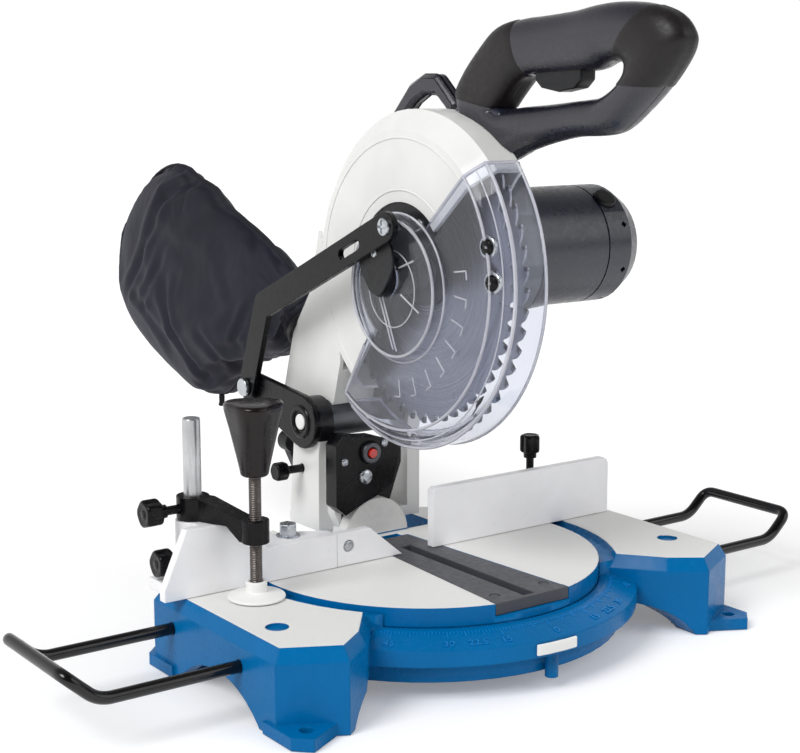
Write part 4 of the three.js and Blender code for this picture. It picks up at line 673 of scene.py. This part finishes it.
def make_bag(steps=7, sides=72):
    """The cloth of the bag. Returns the places along its upper and lower seam."""
    sections = smooth_between(BAG_SECTIONS, steps)
    points = []
    for section in sections:
        middle = (bag_point(section, 0) + bag_point(section, pi)) / 2
        for i in range(sides):
            turn = 2 * pi * i / sides
            place = bag_point(section, turn)
            outwards = (place - middle).normalized()
            points.append(place + outwards * bag_relief(place, turn) * BAG_LOOSENESS * MM)
    bag = made("dust_bag_cloth", points, ring_faces(len(sections), sides), 180)
    seams = [i for i in range(len(points)) if i % sides in (0, sides // 2)]
    ends = list(range(2 * sides)) + list(range(len(points) - sides, len(points)))
    settled(bag, sorted(set(seams + ends)))
    with_values(bag.modifiers.new("finer", "SUBSURF"), levels=1, render_levels=1)
    baked(bag, 180)
    edges = [[bag.data.vertices[k * sides + turn].co.copy() for k in range(2, len(sections))]
             for turn in (0, sides // 2)]
    creased(bag.data)
    stands_for(bag, "dust_bag", "cloth")
    return edges


def make_bag_details(edges):
    """Piping along both seams, the clip ring and cuff at the neck, and the zip's pull."""
    top, low = edges
    piping = sweep("dust_bag_piping", top + list(reversed(low)), 1.4, 12)
    added(piping, "piping", "dust_bag")
    neck = at(BAG_X, 122.0, 137.0)
    along = Vector((0, cos(radians(36)), sin(radians(36))))
    axis = (along, X, X.cross(along))
    ring = [(13.0, 17.2), (13.0, 19.8), (13.8, 20.6), (18.2, 20.6), (19.0, 19.8), (19.0, 17.2)]
    added(lathe("dust_bag_clip_ring", neck, axis, ring, 64), "black", "dust_bag")
    cuff = [(18.5, 17.6), (19.5, 19.2), (21.5, 19.9), (24.0, 20.6), (27.0, 20.2), (29.0, 21.5)]
    added(lathe("dust_bag_cuff", neck, axis, cuff, 96, lambda turn, distance:
                1 + 0.025 * sin(14 * turn) * (distance - 18) / 11, 180), "cloth", "dust_bag")
    lowest = min(low, key=lambda place: place.z) + Vector((0, 0, 0.5 * MM))
    tab = [(0, 1.2), (1, 2.2), (4, 2.6), (8, 2.4), (11, 3.2), (12, 2.0)]
    added(lathe("zip_pull", lowest, (-Z, X, Y), tab, 24, lambda turn, distance:
                0.45 + 0.55 * abs(cos(turn))), "black", "dust_bag")


# Handle

GRIP_X, GRIP_HALF = 22.0, 16.0
GRIP_CORNER, GRIP_SIZE = (-17.0, 278.0), (-207.0, 99.0)
# Round the loop, as shares of GRIP_SIZE and GRIP_HALF: the outer edge's y and z, the inner
# edge's y and z, the half width, and how square the section is
GRIP_SECTIONS = [
    (0.019, 0.394, 0.208, 0.343, 0.938, 4), (0.048, 0.556, 0.242, 0.414, 0.938, 4),
    (0.145, 0.758, 0.285, 0.495, 0.969, 3.6), (0.222, 0.879, 0.319, 0.54, 1, 3),
    (0.314, 0.924, 0.362, 0.561, 1, 2.3), (0.425, 0.939, 0.44, 0.571, 0.969, 2.3),
    (0.551, 0.96, 0.551, 0.581, 0.969, 2.3), (0.652, 0.99, 0.647, 0.596, 1, 2.3),
    (0.749, 1, 0.691, 0.631, 1, 2.3), (0.86, 0.98, 0.729, 0.646, 1, 2.3),
    (0.952, 0.919, 0.754, 0.646, 1, 2.3), (1, 0.818, 0.773, 0.631, 1, 2.3),
    (1, 0.727, 0.778, 0.601, 1, 2.3), (0.961, 0.606, 0.773, 0.556, 0.969, 2.3),
    (0.903, 0.475, 0.744, 0.5, 0.938, 2.3), (0.836, 0.354, 0.705, 0.455, 0.906, 2.3),
    (0.754, 0.232, 0.667, 0.429, 0.875, 2.3), (0.681, 0.197, 0.633, 0.419, 0.844, 2.3),
    (0.56, 0.182, 0.556, 0.404, 0.812, 2.3), (0.43, 0.131, 0.43, 0.379, 0.844, 2.3),
    (0.324, 0.071, 0.329, 0.364, 0.875, 2.3), (0.222, 0.01, 0.246, 0.343, 0.875, 3),
    (0.101, 0.121, 0.215, 0.338, 0.906, 4),
]
GRIP_FOOT = [(0.314, 0.081), (0.222, 0), (0, 0.131), (0.014, 0.364), (0.135, 0.404),
             (0.246, 0.333)]
GUARD_RIM = 112.0


def on_grip(u, v):
    """y and z of a place given in shares of the handle's size."""
    return GRIP_CORNER[0] + u * GRIP_SIZE[0], GRIP_CORNER[1] + v * GRIP_SIZE[1]


def grip_sections(steps=4):
    """For each station: centre, reach to the outer edge, half width and squareness."""
    for outer_u, outer_v, inner_u, inner_v, width, square in smooth_between(
            GRIP_SECTIONS, steps, True):
        (oy, oz), (iy, iz) = on_grip(outer_u, outer_v), on_grip(inner_u, inner_v)
        cy, cz = (oy + iy) / 2, (oz + iz) / 2
        yield cy, cz, oy - cy, oz - cz, GRIP_HALF * width, square


def grip_half(side, node, sides=22, thinnest=0.35):
    """One shell of the handle: half of each ring, with a small lip sunk along the seam."""
    points = []
    for cy, cz, reach_y, reach_z, width, square in grip_sections():
        ring = []
        for i in range(sides + 1):
            c, s = oval(pi * i / sides, square)
            ring.append((max(thinnest, width * s), cy + reach_y * c, cz + reach_z * c))
        lip = [(0.05, cy + reach_y * c * 0.955, cz + reach_z * c * 0.955) for c in (1, -1)]
        points += [at(GRIP_X + side * x, y, z) for x, y, z in [lip[0]] + ring + [lip[1]]]
    count = sides + 3
    faces = ring_faces(len(points) // count, count, True)
    return made(node + "_shell", points, faces, 40)


def grip_sleeve(name, first, last, sides=44, steps=4):
    """A band of textured rubber that stands a little proud of the handle between two stations."""
    sections = list(grip_sections(steps))[first * steps:last * steps + 1]
    points = []
    for k, (cy, cz, reach_y, reach_z, width, square) in enumerate(sections):
        proud = -0.6 if k in (0, len(sections) - 1) else 0.55
        for i in range(sides):
            c, s = oval(2 * pi * i / sides, square)
            seam = 0.6 if i % (sides // 2) == 0 else 0.0
            grow = 1 + (proud - seam) / hypot(reach_y, reach_z)
            points.append(at(GRIP_X + (width + proud) * s, cy + reach_y * c * grow,
                             cz + reach_z * c * grow))
    sleeve = made(name, points, ring_faces(len(sections), sides), 40)
    cut_by(sleeve, rim_cutter(), degrees=40)
    added(sleeve, "grip", "handle_left")


def rim_cutter():
    """The round edge of the white guard, against which the handle ends."""
    radius = GUARD_RIM + 0.5
    return lathe("rim", at(-150, *ARBOR), "x", [(0, radius), (164.3, radius)], 180)


def make_handle():
    grip_sleeve("handle_front_sleeve", 0, 4)
    grip_sleeve("handle_rear_sleeve", 9, 14)
    for side, node in ((1, "handle_right"), (-1, "handle_left")):
        shell = grip_half(side, node)
        (y0, z0), (y1, z1) = on_grip(0.377, 0.505), on_grip(0.609, 0.727)
        cutters = [rim_cutter(), block("trigger_pocket", (15, y1, z0), (29, y0, z1))]
        if side > 0:
            button = at(25, *on_grip(0.43, 0.828))
            cutters.append(lathe("button_well", button, "x", [(0, 5.3), (40, 5.3)], 32))
        cut_by(shell, *cutters, degrees=40)
        stands_for(shell, node, "rubber")
    points = [at(x, *on_grip(u, v)) for x in (10.5, 33.5) for u, v in GRIP_FOOT]
    foot = made("handle_foot", points, ring_faces(2, len(GRIP_FOOT)))
    with_values(foot.modifiers.new("edges", "BEVEL"), width=3.4 * MM, segments=4)
    baked(foot)
    cut_by(foot, rim_cutter(), degrees=40)
    added(foot, "slate", "handle_left")


# Knobs, screw and bars

def lobes(count, depth, low, high, soft=2.0):
    """Hollows between count lobes, for the part of a knob from low to high along its axis."""
    def reach(turn, distance):
        rise, fall = (distance - low) / soft + 0.5, (high - distance) / soft + 0.5
        inside = min(1.0, max(0.0, rise), max(0.0, fall))
        return 1 - depth * inside * ((1 - cos(count * turn)) / 2) ** 1.3
    return reach


def rounded_end(start, end, radius, edge, steps=5):
    """Profile of a grip from start to end whose two rims are rounded by edge."""
    rim = [(edge * (1 - cos(turn)), edge * (1 - sin(turn)))
           for turn in (pi / 2 * k / steps for k in range(steps + 1))]
    return [(start + a, radius - b) for a, b in rim] + [(end - b, radius - a) for a, b in rim]


def make_knob(node, place, axis, profile, sides, *lobe):
    grip = lathe(node + "_grip", place, axis, profile, sides, lobes(*lobe))
    stands_for(grip, node, "black_gloss")


def make_knobs():
    """Lobed grips, each with its shank: distance along the axis from the first end, and radius."""
    shank_end = -175
    for node, height, start in (("column_lock_knob", 19, -185), ("arm_lock_knob", 54, -193)):
        profile = [(0, 2.6), (0.5, 3.4), (0.5, 5.2)] + rounded_end(0, 12, 9.5, 2.2) + [
            (12.2, 5.2), (12.8, 4.5), (16.4, 4.5), (16.6, 3.0), (shank_end - start + 12, 3.0)]
        make_knob(node, at(start - 12, 28, height), "x", profile, 80, 5, 0.2, 0.6, 11.6)
    profile = [(0, 3.0), (37, 3.0), (37, 5.0), (41, 5.2)] + rounded_end(41, 55, 8.0, 2.2) + [
        (55.1, 5.4), (54.5, 4.6), (54.5, 1.0)]
    make_knob("table_lock_knob", at(141, 48, 4), "z", profile, 80, 5, 0.2, 41.6, 54.6)
    profile = [(0, 1.0), (0.2, 4.0)] + rounded_end(0, 10, 7.0, 2.0) + [
        (10.2, 4.4), (11.5, 3.0), (40, 3.0)]
    make_knob("transport_pin", at(-62, 98, 48), "x", profile, 64, 6, 0.12, 0.6, 9.6)


def make_clamp_knob(height=48):
    """A taper that is round at its foot and three-sided at its top."""
    shares = [(0.0, 8.0), (0.03, 9.2), (0.12, 10.2), (0.5, 15.2), (0.84, 19.8), (0.92, 20.5),
              (0.965, 20.2), (0.99, 18.8), (1.0, 16.5)]
    profile = [(0.0, 6.0)] + [(height * share, reach) for share, reach in smooth_between(shares, 6)]
    profile += [(height + up, reach) for up, reach in zip((0.3, 0.6, 0.7, 0.7), (15, 10, 4, 0.5))]

    def triangle(turn, distance):
        grown = min(1.0, max(0.0, distance / 30))
        return 1 - 0.2 * grown * (1 - cos(3 * turn)) / 2

    knob = lathe("clamp_knob_grip", at(*CLAMP, 82), "z", profile, 96, triangle, 60)
    stands_for(knob, "clamp_knob", "brown")


def make_clamp_screw(pitch=1.5, length=91.5, sides=24):
    """A fine thread: the radius follows a helix along the rod."""
    points, count = [], int(length / pitch * 8)
    for k in range(count + 1):
        distance = length * k / count
        for i in range(sides):
            turn = 2 * pi * i / sides
            phase = (distance / pitch - i / sides) % 1.0
            reach = 4.2 - 0.5 * (1 - abs(2 * phase - 1)) * min(1.0, distance / 4)
            points.append(at(CLAMP[0] + reach * cos(turn), CLAMP[1] + reach * sin(turn),
                             6.5 + distance))
    screw = made("clamp_screw_thread", points, ring_faces(count + 1, sides), 60)
    stands_for(screw, "clamp_screw", "thread")


def rounded_path(corners, bend, steps=10):
    """Places no more than 6 mm apart along straight runs with rounded bends between them."""
    path = [corners[0]]
    for before, corner, after in zip(corners, corners[1:], corners[2:]):
        start = corner + (before - corner).normalized() * bend
        stop = corner + (after - corner).normalized() * bend
        for k in range(steps + 1):
            t = k / steps
            path.append(start * (1 - t) ** 2 + corner * 2 * t * (1 - t) + stop * t ** 2)
    path.append(corners[-1])
    dense = []
    for here, there in zip(path, path[1:]):
        count = max(1, int((there - here).length / (6 * MM)))
        dense += [here.lerp(there, k / count) for k in range(count)]
    return dense + [path[-1]]


def make_support_bars():
    for side, node in ((-1, "support_bar_left"), (1, "support_bar_right")):
        corners = [at(side * x, y, z) for x, y, z in (
            (130, 16, -22), (286, 16, -22), (306, 16, -4), (306, -70, -4), (286, -70, -22),
            (130, -70, -22))]
        bar = sweep(node + "_smooth", rounded_path(corners, 9 * MM), 4.0, 28)
        stands_for(bar, node, "bar")


# Blade

TEETH, BLADE = 48, 105.0
# One tooth from its point over its back to the gullet: share of the pitch, and of the radius
TOOTH = [(0.0, 1.0), (0.12, 0.999), (0.4, 0.985), (0.62, 0.962), (0.78, 0.934), (0.88, 0.926),
         (0.95, 0.934)]
TIP = [(0.0, 1.0), (0.16, 0.9985), (0.19, 0.962), (-0.035, 0.958)]


def on_disc(x, teeth, share):
    """A place on the blade, a number of teeth round and at a share of its radius."""
    angle = 2 * pi * teeth / TEETH
    return at(x, ARBOR[0] + BLADE * share * cos(angle),
              ARBOR[1] + BLADE * share * sin(angle))


def make_blade(slots=6, slotted=5):
    """The disc, in rings from its bore to the teeth; its slots cut the rings from slotted on."""
    levels = [0.0768, 0.2, 0.4, 0.6, 0.72, 0.8, 0.86, 0.91, 1.0]
    points = [on_disc(0, tooth + along, reach if level == 1.0 else level)
              for level in levels for tooth in range(TEETH) for along, reach in TOOTH]
    count = TEETH * len(TOOTH)
    open_at = {k * count // slots + 6 for k in range(slots)}
    faces = [face for k, face in enumerate(ring_faces(len(levels), count)[:-2])
             if k < slotted * count or k % count not in open_at]
    disc = made("blade_disc", points, faces, 40)
    with_values(disc.modifiers.new("thickness", "SOLIDIFY"), thickness=1.9 * MM, offset=0)
    baked(disc, 30)
    stands_for(disc, "blade", "blade")


def make_tips():
    """A brazed tip on each tooth, a little wider than the disc."""
    points = [on_disc(half, tooth + along, reach)
              for tooth in range(TEETH) for half in (-1.15, 1.15) for along, reach in TIP]
    added(made("blade_tips", points, prisms(TEETH), 20), "dark_steel", "blade")


# Mitre scale

# The sloped ring in front of the turntable: its inner radius, its width, the height of its inner
# edge, and how far it falls outwards
RING_RADIUS, RING_WIDTH, RING_TOP, RING_FALL = 131, 21, -13, 6


def scale_place(angle, radius, lift=0.0):
    """A place on the sloped ring, angle degrees from the front."""
    turn = radians(angle)
    return at(radius * sin(turn), -radius * cos(turn),
              RING_TOP - RING_FALL * (radius - RING_RADIUS) / RING_WIDTH + lift)


def make_scale(inner=132.4, wide=0.16):
    """A tick for each degree, longer at every fifth and fifteenth, and the figures."""
    points = []
    marks = [mark for mark in range(-50, 51) if mark % 5 == 0 or abs(mark) <= 48]
    for mark in marks:
        outer = 139.5 if mark % 15 == 0 else 137.5 if mark % 5 == 0 else 135
        corners = ((inner, -wide), (outer, -wide), (outer, wide), (inner, wide))
        points += [scale_place(mark + offset, radius, lift)
                   for lift in (-0.3, 0.35) for radius, offset in corners]
    ticks = made("mitre_scale_ticks", points, prisms(len(marks)))
    # Ticks in the lighter blue: a painted highlight on the raised marks.
    added(ticks, "raised_blue_painted_highlight", "base_casting")
    for mark in (-45, -30, -22.5, -15, 0, 15, 22.5, 30, 45):
        make_figure(mark)


def make_figure(mark, size=7.6):
    """One raised number, read from the front."""
    text = with_values(bpy.data.curves.new("figure", "FONT"), body="%g" % abs(mark),
                       size=size * MM, extrude=0.25 * MM, bevel_depth=0.08 * MM,
                       align_x="CENTER", align_y="CENTER")
    letters = placed("figure", text)
    mesh = evaluated(letters)
    bpy.data.objects.remove(letters)
    middle = scale_place(mark, 145.2, 0.3)
    outwards = (scale_place(mark, 150) - scale_place(mark, 140)).normalized()
    across = (scale_place(mark + 1, 145) - scale_place(mark - 1, 145)).normalized()
    turned = Matrix((across, -outwards, across.cross(-outwards))).transposed().to_4x4()
    mesh.transform(Matrix.Translation(middle) @ turned)
    side = "left_" if mark < 0 else "right_" if mark else ""
    name = "scale_figure_%s%g" % (side, abs(mark))
    # Figures in the lighter blue: a painted highlight on the raised marks.
    added(placed(name.replace(".", "_"), mesh), "raised_blue_painted_highlight", "base_casting")


# Washers and screw heads

WASHERS = [
    ("block_bolt_washer", (-99, 21, 24), 8.4, "fence_block_bolt"),
    ("left_bolt_washer", (-142, 30, 8), 8.2, "fence_bolt_left"),
    ("right_bolt_washer", (158, 30, 8), 8.2, "fence_bolt_right"),
]
# Name, place, direction, radius, height, whether it has a cross, and the node that it is in
SCREWS = [
    ("bracket_screw_left", (-31, 52, 60), "front", 3.0, 1.6, True, "tilt_yoke"),
    ("bracket_screw_right", (4, 52, 70), "front", 3.0, 1.6, True, "tilt_yoke"),
    ("bracket_bolt", (-13, 52, 47), "front", 5.6, 3.0, False, "tilt_yoke"),
    ("lever_tip_bolt", (-49, -23, 236), "left", 6.2, 2.6, True, "guard_lever"),
    ("hub_screw_front", (-21, -25, 235.6), "left", 4.2, 2.0, True, "upper_guard"),
    ("hub_screw_rear", (-21, -10, 239), "left", 3.4, 2.0, True, "upper_guard"),
    ("cap_screw", (-43.6, -4, 217), "left", 3.2, 1.6, True, "upper_guard"),
]


def screw_head(name, place, facing, radius, high, cross, node, material="steel",
               like="lever_bolt"):
    """A pan-head screw with a sunk cross or slot."""
    shares = [(0.6, 0.93), (0.92, 0.72), (1, 0.4)]
    profile = [(-1.0, radius * 0.98), (0.2, radius)]
    profile += [(high * up, radius * share) for up, share in shares] + [(high, 0.05)]
    head = lathe(name, at(*place), facing, profile, 40)
    along, side, up = ACROSS[facing]
    for first, second in ([(side, up), (up, side)] if cross else [(side, up)]):
        corners = []
        for depth in (high * 0.45, high + 1):
            for a, b in ((-0.72, -0.14), (0.72, -0.14), (0.72, 0.14), (-0.72, 0.14)):
                reach = (first * a + second * b) * radius
                corners.append(at(*place) + (along * depth + reach) * MM)
        cut_by(head, made("slot", corners, ring_faces(2, 4)))
    smoothed(head.data)
    added(head, material, node)


def make_hardware():
    for name, place, radius, node in WASHERS:
        profile = [(0, radius - 0.25), (0.25, radius), (0.65, radius), (0.9, radius - 0.25)]
        added(lathe(name, at(*place), "z", profile, 40), "steel", node)
    for row in SCREWS:
        screw_head(*row)
    for name, y, z in (("upper", -105.5, 228.2), ("lower", -110.5, 206)):
        ring = lathe("guard_bolt_washer_" + name, at(-26, y, z), "left",
                     [(0, 7.4), (2.2, 7.4), (2.6, 7.0), (2.6, 0.1)], 40)
        added(ring, "steel", "lower_guard")
        screw_head("guard_bolt_" + name, (-28.4, y, z), "left", 5.4, 2.8, name == "lower",
                   "lower_guard", "black_gloss", "link_bracket")
    face = at(-43.6, *HINGE)
    eye = [(0, 5.8), (0.9, 5.8), (1.3, 5.4), (1.5, 4.6), (1.5, 0.2)]
    added(lathe("hinge_eye", face, "left", eye, 48), "white_plastic", "tilt_yoke")
    bead = lathe("hinge_eye_bead", face, "left",
                 [(0.0, 8.0), (1.2, 8.4), (1.9, 9.4), (1.9, 11.0), (1.3, 12.2), (0.2, 12.8)], 64)
    bore = lathe("bore", at(-30, *HINGE), "left", [(0, 8.2), (30, 8.2)], 48)
    cut_by(bead, bore, degrees=40)
    added(bead, "black_gloss", "tilt_yoke")


# Lines on the guards

def on_guard(radius, degrees, x, centre=ARBOR):
    turn = radians(degrees)
    return at(x, centre[0] + radius * cos(turn), centre[1] + radius * sin(turn))


def guard_arc(radius, start, stop, x, steps, centre=ARBOR):
    return [on_guard(radius, start + (stop - start) * i / steps, x, centre)
            for i in range(steps + 1)]


def clear_line(kind, k, path, thick, sides=10):
    """A bead on the clear guard: a real moulded line, in whiter half-clear plastic that is a
    painted highlight.
    """
    added(sweep("guard_%s_%d" % (kind, k), path, thick, sides), "clear_rim_painted_highlight", "lower_guard")


def make_guard_beads():
    """Faint pressed lines on the flat side of the white guard."""
    for k, radius in enumerate((58, 93)):
        path = guard_arc(radius, -52, 136, -21.9, 80)
        added(sweep("guard_bead_%d" % k, path, 0.7, 10), "white", "upper_guard")


def make_guard_ribs():
    """Moulded rims, the ring of the dish, its radial ribs and the marks round it."""
    rims = ((118.3, -20, 1.3), (118.3, 5.2, 1.2), (105, -30, 1.0), (112.5, -25, 0.5))
    for k, (radius, x, thick) in enumerate(rims):
        clear_line("rim", k, guard_arc(radius, 138, 302, x, 90), thick, 12)
    for k, degrees in enumerate((137.6, 302.4)):
        corners = [on_guard(radius, degrees, x)
                   for radius, x in ((60, -30), (105, -30), (118, -20), (118, 5))]
        clear_line("edge", k, rounded_path(corners, 3 * MM), 1.3, 12)
    dish = (ARBOR[0] - 8, ARBOR[1] - 7)
    for k, (radius, x, thick) in enumerate(((46, -36, 1.1), (50.5, -30.2, 0.8), (26, -36, 0.5))):
        clear_line("dish_ring", k, guard_arc(radius, 0, 360, x, 96, dish), thick)
    ribs = (((1, 187), (-15, 152)), ((-3, 186), (-19, 151)), ((-22, 208), (-38, 214)),
            ((-24, 190), (-44, 180)))
    for k, (start, stop) in enumerate(ribs):
        path = [at(-36.1, *start).lerp(at(-36.1, *stop), i / 6) for i in range(7)]
        clear_line("rib", k, path, 0.7)
    for k, degrees in enumerate(range(172, 276, 13)):
        path = [on_guard(70 + 2 * i, degrees, -30.1) for i in range(7)]
        path += [on_guard(82, degrees + i, -30.1) for i in range(1, 5)]
        clear_line("mark", k, path, 0.6, 8)


make_bag_details(make_bag())
make_handle()
make_knobs()
make_clamp_knob()
make_clamp_screw()
make_support_bars()
make_blade()
make_tips()
make_scale()
make_hardware()
make_guard_beads()
make_guard_ribs()


def dress_nodes():
    """Every CAD node gets its finish, shown or not."""
    for name, obj in frame["nodes"].items():
        for place in obj.material_slots:
            place.link = "OBJECT"
            place.material = MATERIALS[finish(name)]


dress_nodes()


# Camera, floor and light

# The camera that was fitted to the photograph: focal length in pixels of its width, place from
# the pivot in metres, and degrees down and to the right
PHOTO_WIDTH, FOCAL_LENGTH, SENSOR = 800, 1624.3, 36
CAMERA_PLACE, CAMERA_DOWN, CAMERA_TURN = Vector((-0.6682, -0.8933, 0.3316)), 10.38, 35.99


def make_camera():
    camera = placed("camera", with_values(
        bpy.data.cameras.new("camera"), sensor_width=SENSOR, sensor_fit="HORIZONTAL",
        lens=SENSOR * FOCAL_LENGTH / PHOTO_WIDTH, clip_end=60))
    camera.location = PIVOT + CAMERA_PLACE
    camera.rotation_euler = (radians(90 - CAMERA_DOWN), 0, radians(-CAMERA_TURN))
    bpy.context.scene.camera = camera


def make_world(light):
    """White to the eye and through glass. To a gloss it is white behind, and dimmer above and on
    the user's side. It lights surfaces at a lower strength."""
    world = bpy.data.worlds.new("studio")
    bpy.context.scene.world = world
    world.use_nodes = True
    nodes = Nodes(world.node_tree)
    place = nodes.node("ShaderNodeTexCoord").outputs["Generated"]
    behind = nodes.spread(nodes.part(place, "Y"), 0.1, 1.0, -0.6, 0.4)
    below = nodes.spread(nodes.part(place, "Z"), 1.0, 0.25, 0.2, 0.75)
    ray = nodes.node("ShaderNodeLightPath").outputs
    shown = nodes.calc("MAXIMUM", ray["Is Camera Ray"], ray["Is Transmission Ray"])
    gloss = nodes.calc("MULTIPLY", ray["Is Glossy Ray"], nodes.calc("MULTIPLY", behind, below))
    seen = nodes.calc("MAXIMUM", shown, gloss)
    unseen = nodes.calc("MULTIPLY", nodes.calc("LESS_THAN", seen, 0.01), light)
    background = world.node_tree.nodes["Background"].inputs
    nodes.feed(background["Color"], (1, 1, 1, 1))
    nodes.feed(background["Strength"], nodes.calc("ADD", unseen, seen))


def make_floor(size=14.0):
    """A pale floor just under the feet, which glows a little to the eye, in gloss and in glass."""
    mesh = bpy.data.meshes.new("floor")
    corners = [(-size, -size, 0), (size, -size, 0), (size, size, 0), (-size, size, 0)]
    mesh.from_pydata(corners, [], [(0, 1, 2, 3)])
    floor = placed("floor", mesh)
    floor.location.z = -0.6 * MM
    look = Look("floor", Roughness=0.9, Specular_IOR_Level=0.0, Emission_Color=(1, 1, 1, 1))
    look.colour(look.ramp(look.noise(3, 3), rgb(236, 236, 236), rgb(242, 242, 242)))
    ray = look.node("ShaderNodeLightPath").outputs
    seen = look.calc("MAXIMUM", ray["Is Camera Ray"], ray["Is Glossy Ray"])
    seen = look.calc("MAXIMUM", seen, ray["Is Transmission Ray"])
    look.put("Emission Strength", look.spread(seen, 0.0, 0.22))
    mesh.materials.append(look.material)


def make_sun(name, strength, heading, spread):
    data = bpy.data.lights.new(name, "SUN")
    data.energy, data.angle = strength, radians(spread)
    placed(name, data).rotation_euler = Vector(heading).to_track_quat("Z", "Y").to_euler()


bpy.context.scene.view_settings.view_transform = "Standard"
make_camera()
make_world(0.55)
make_floor()
make_sun("key", 1.8, (-0.95, -0.2, 0.95), 28)
make_sun("fill", 0.6, (0.7, -0.9, 0.6), 45)
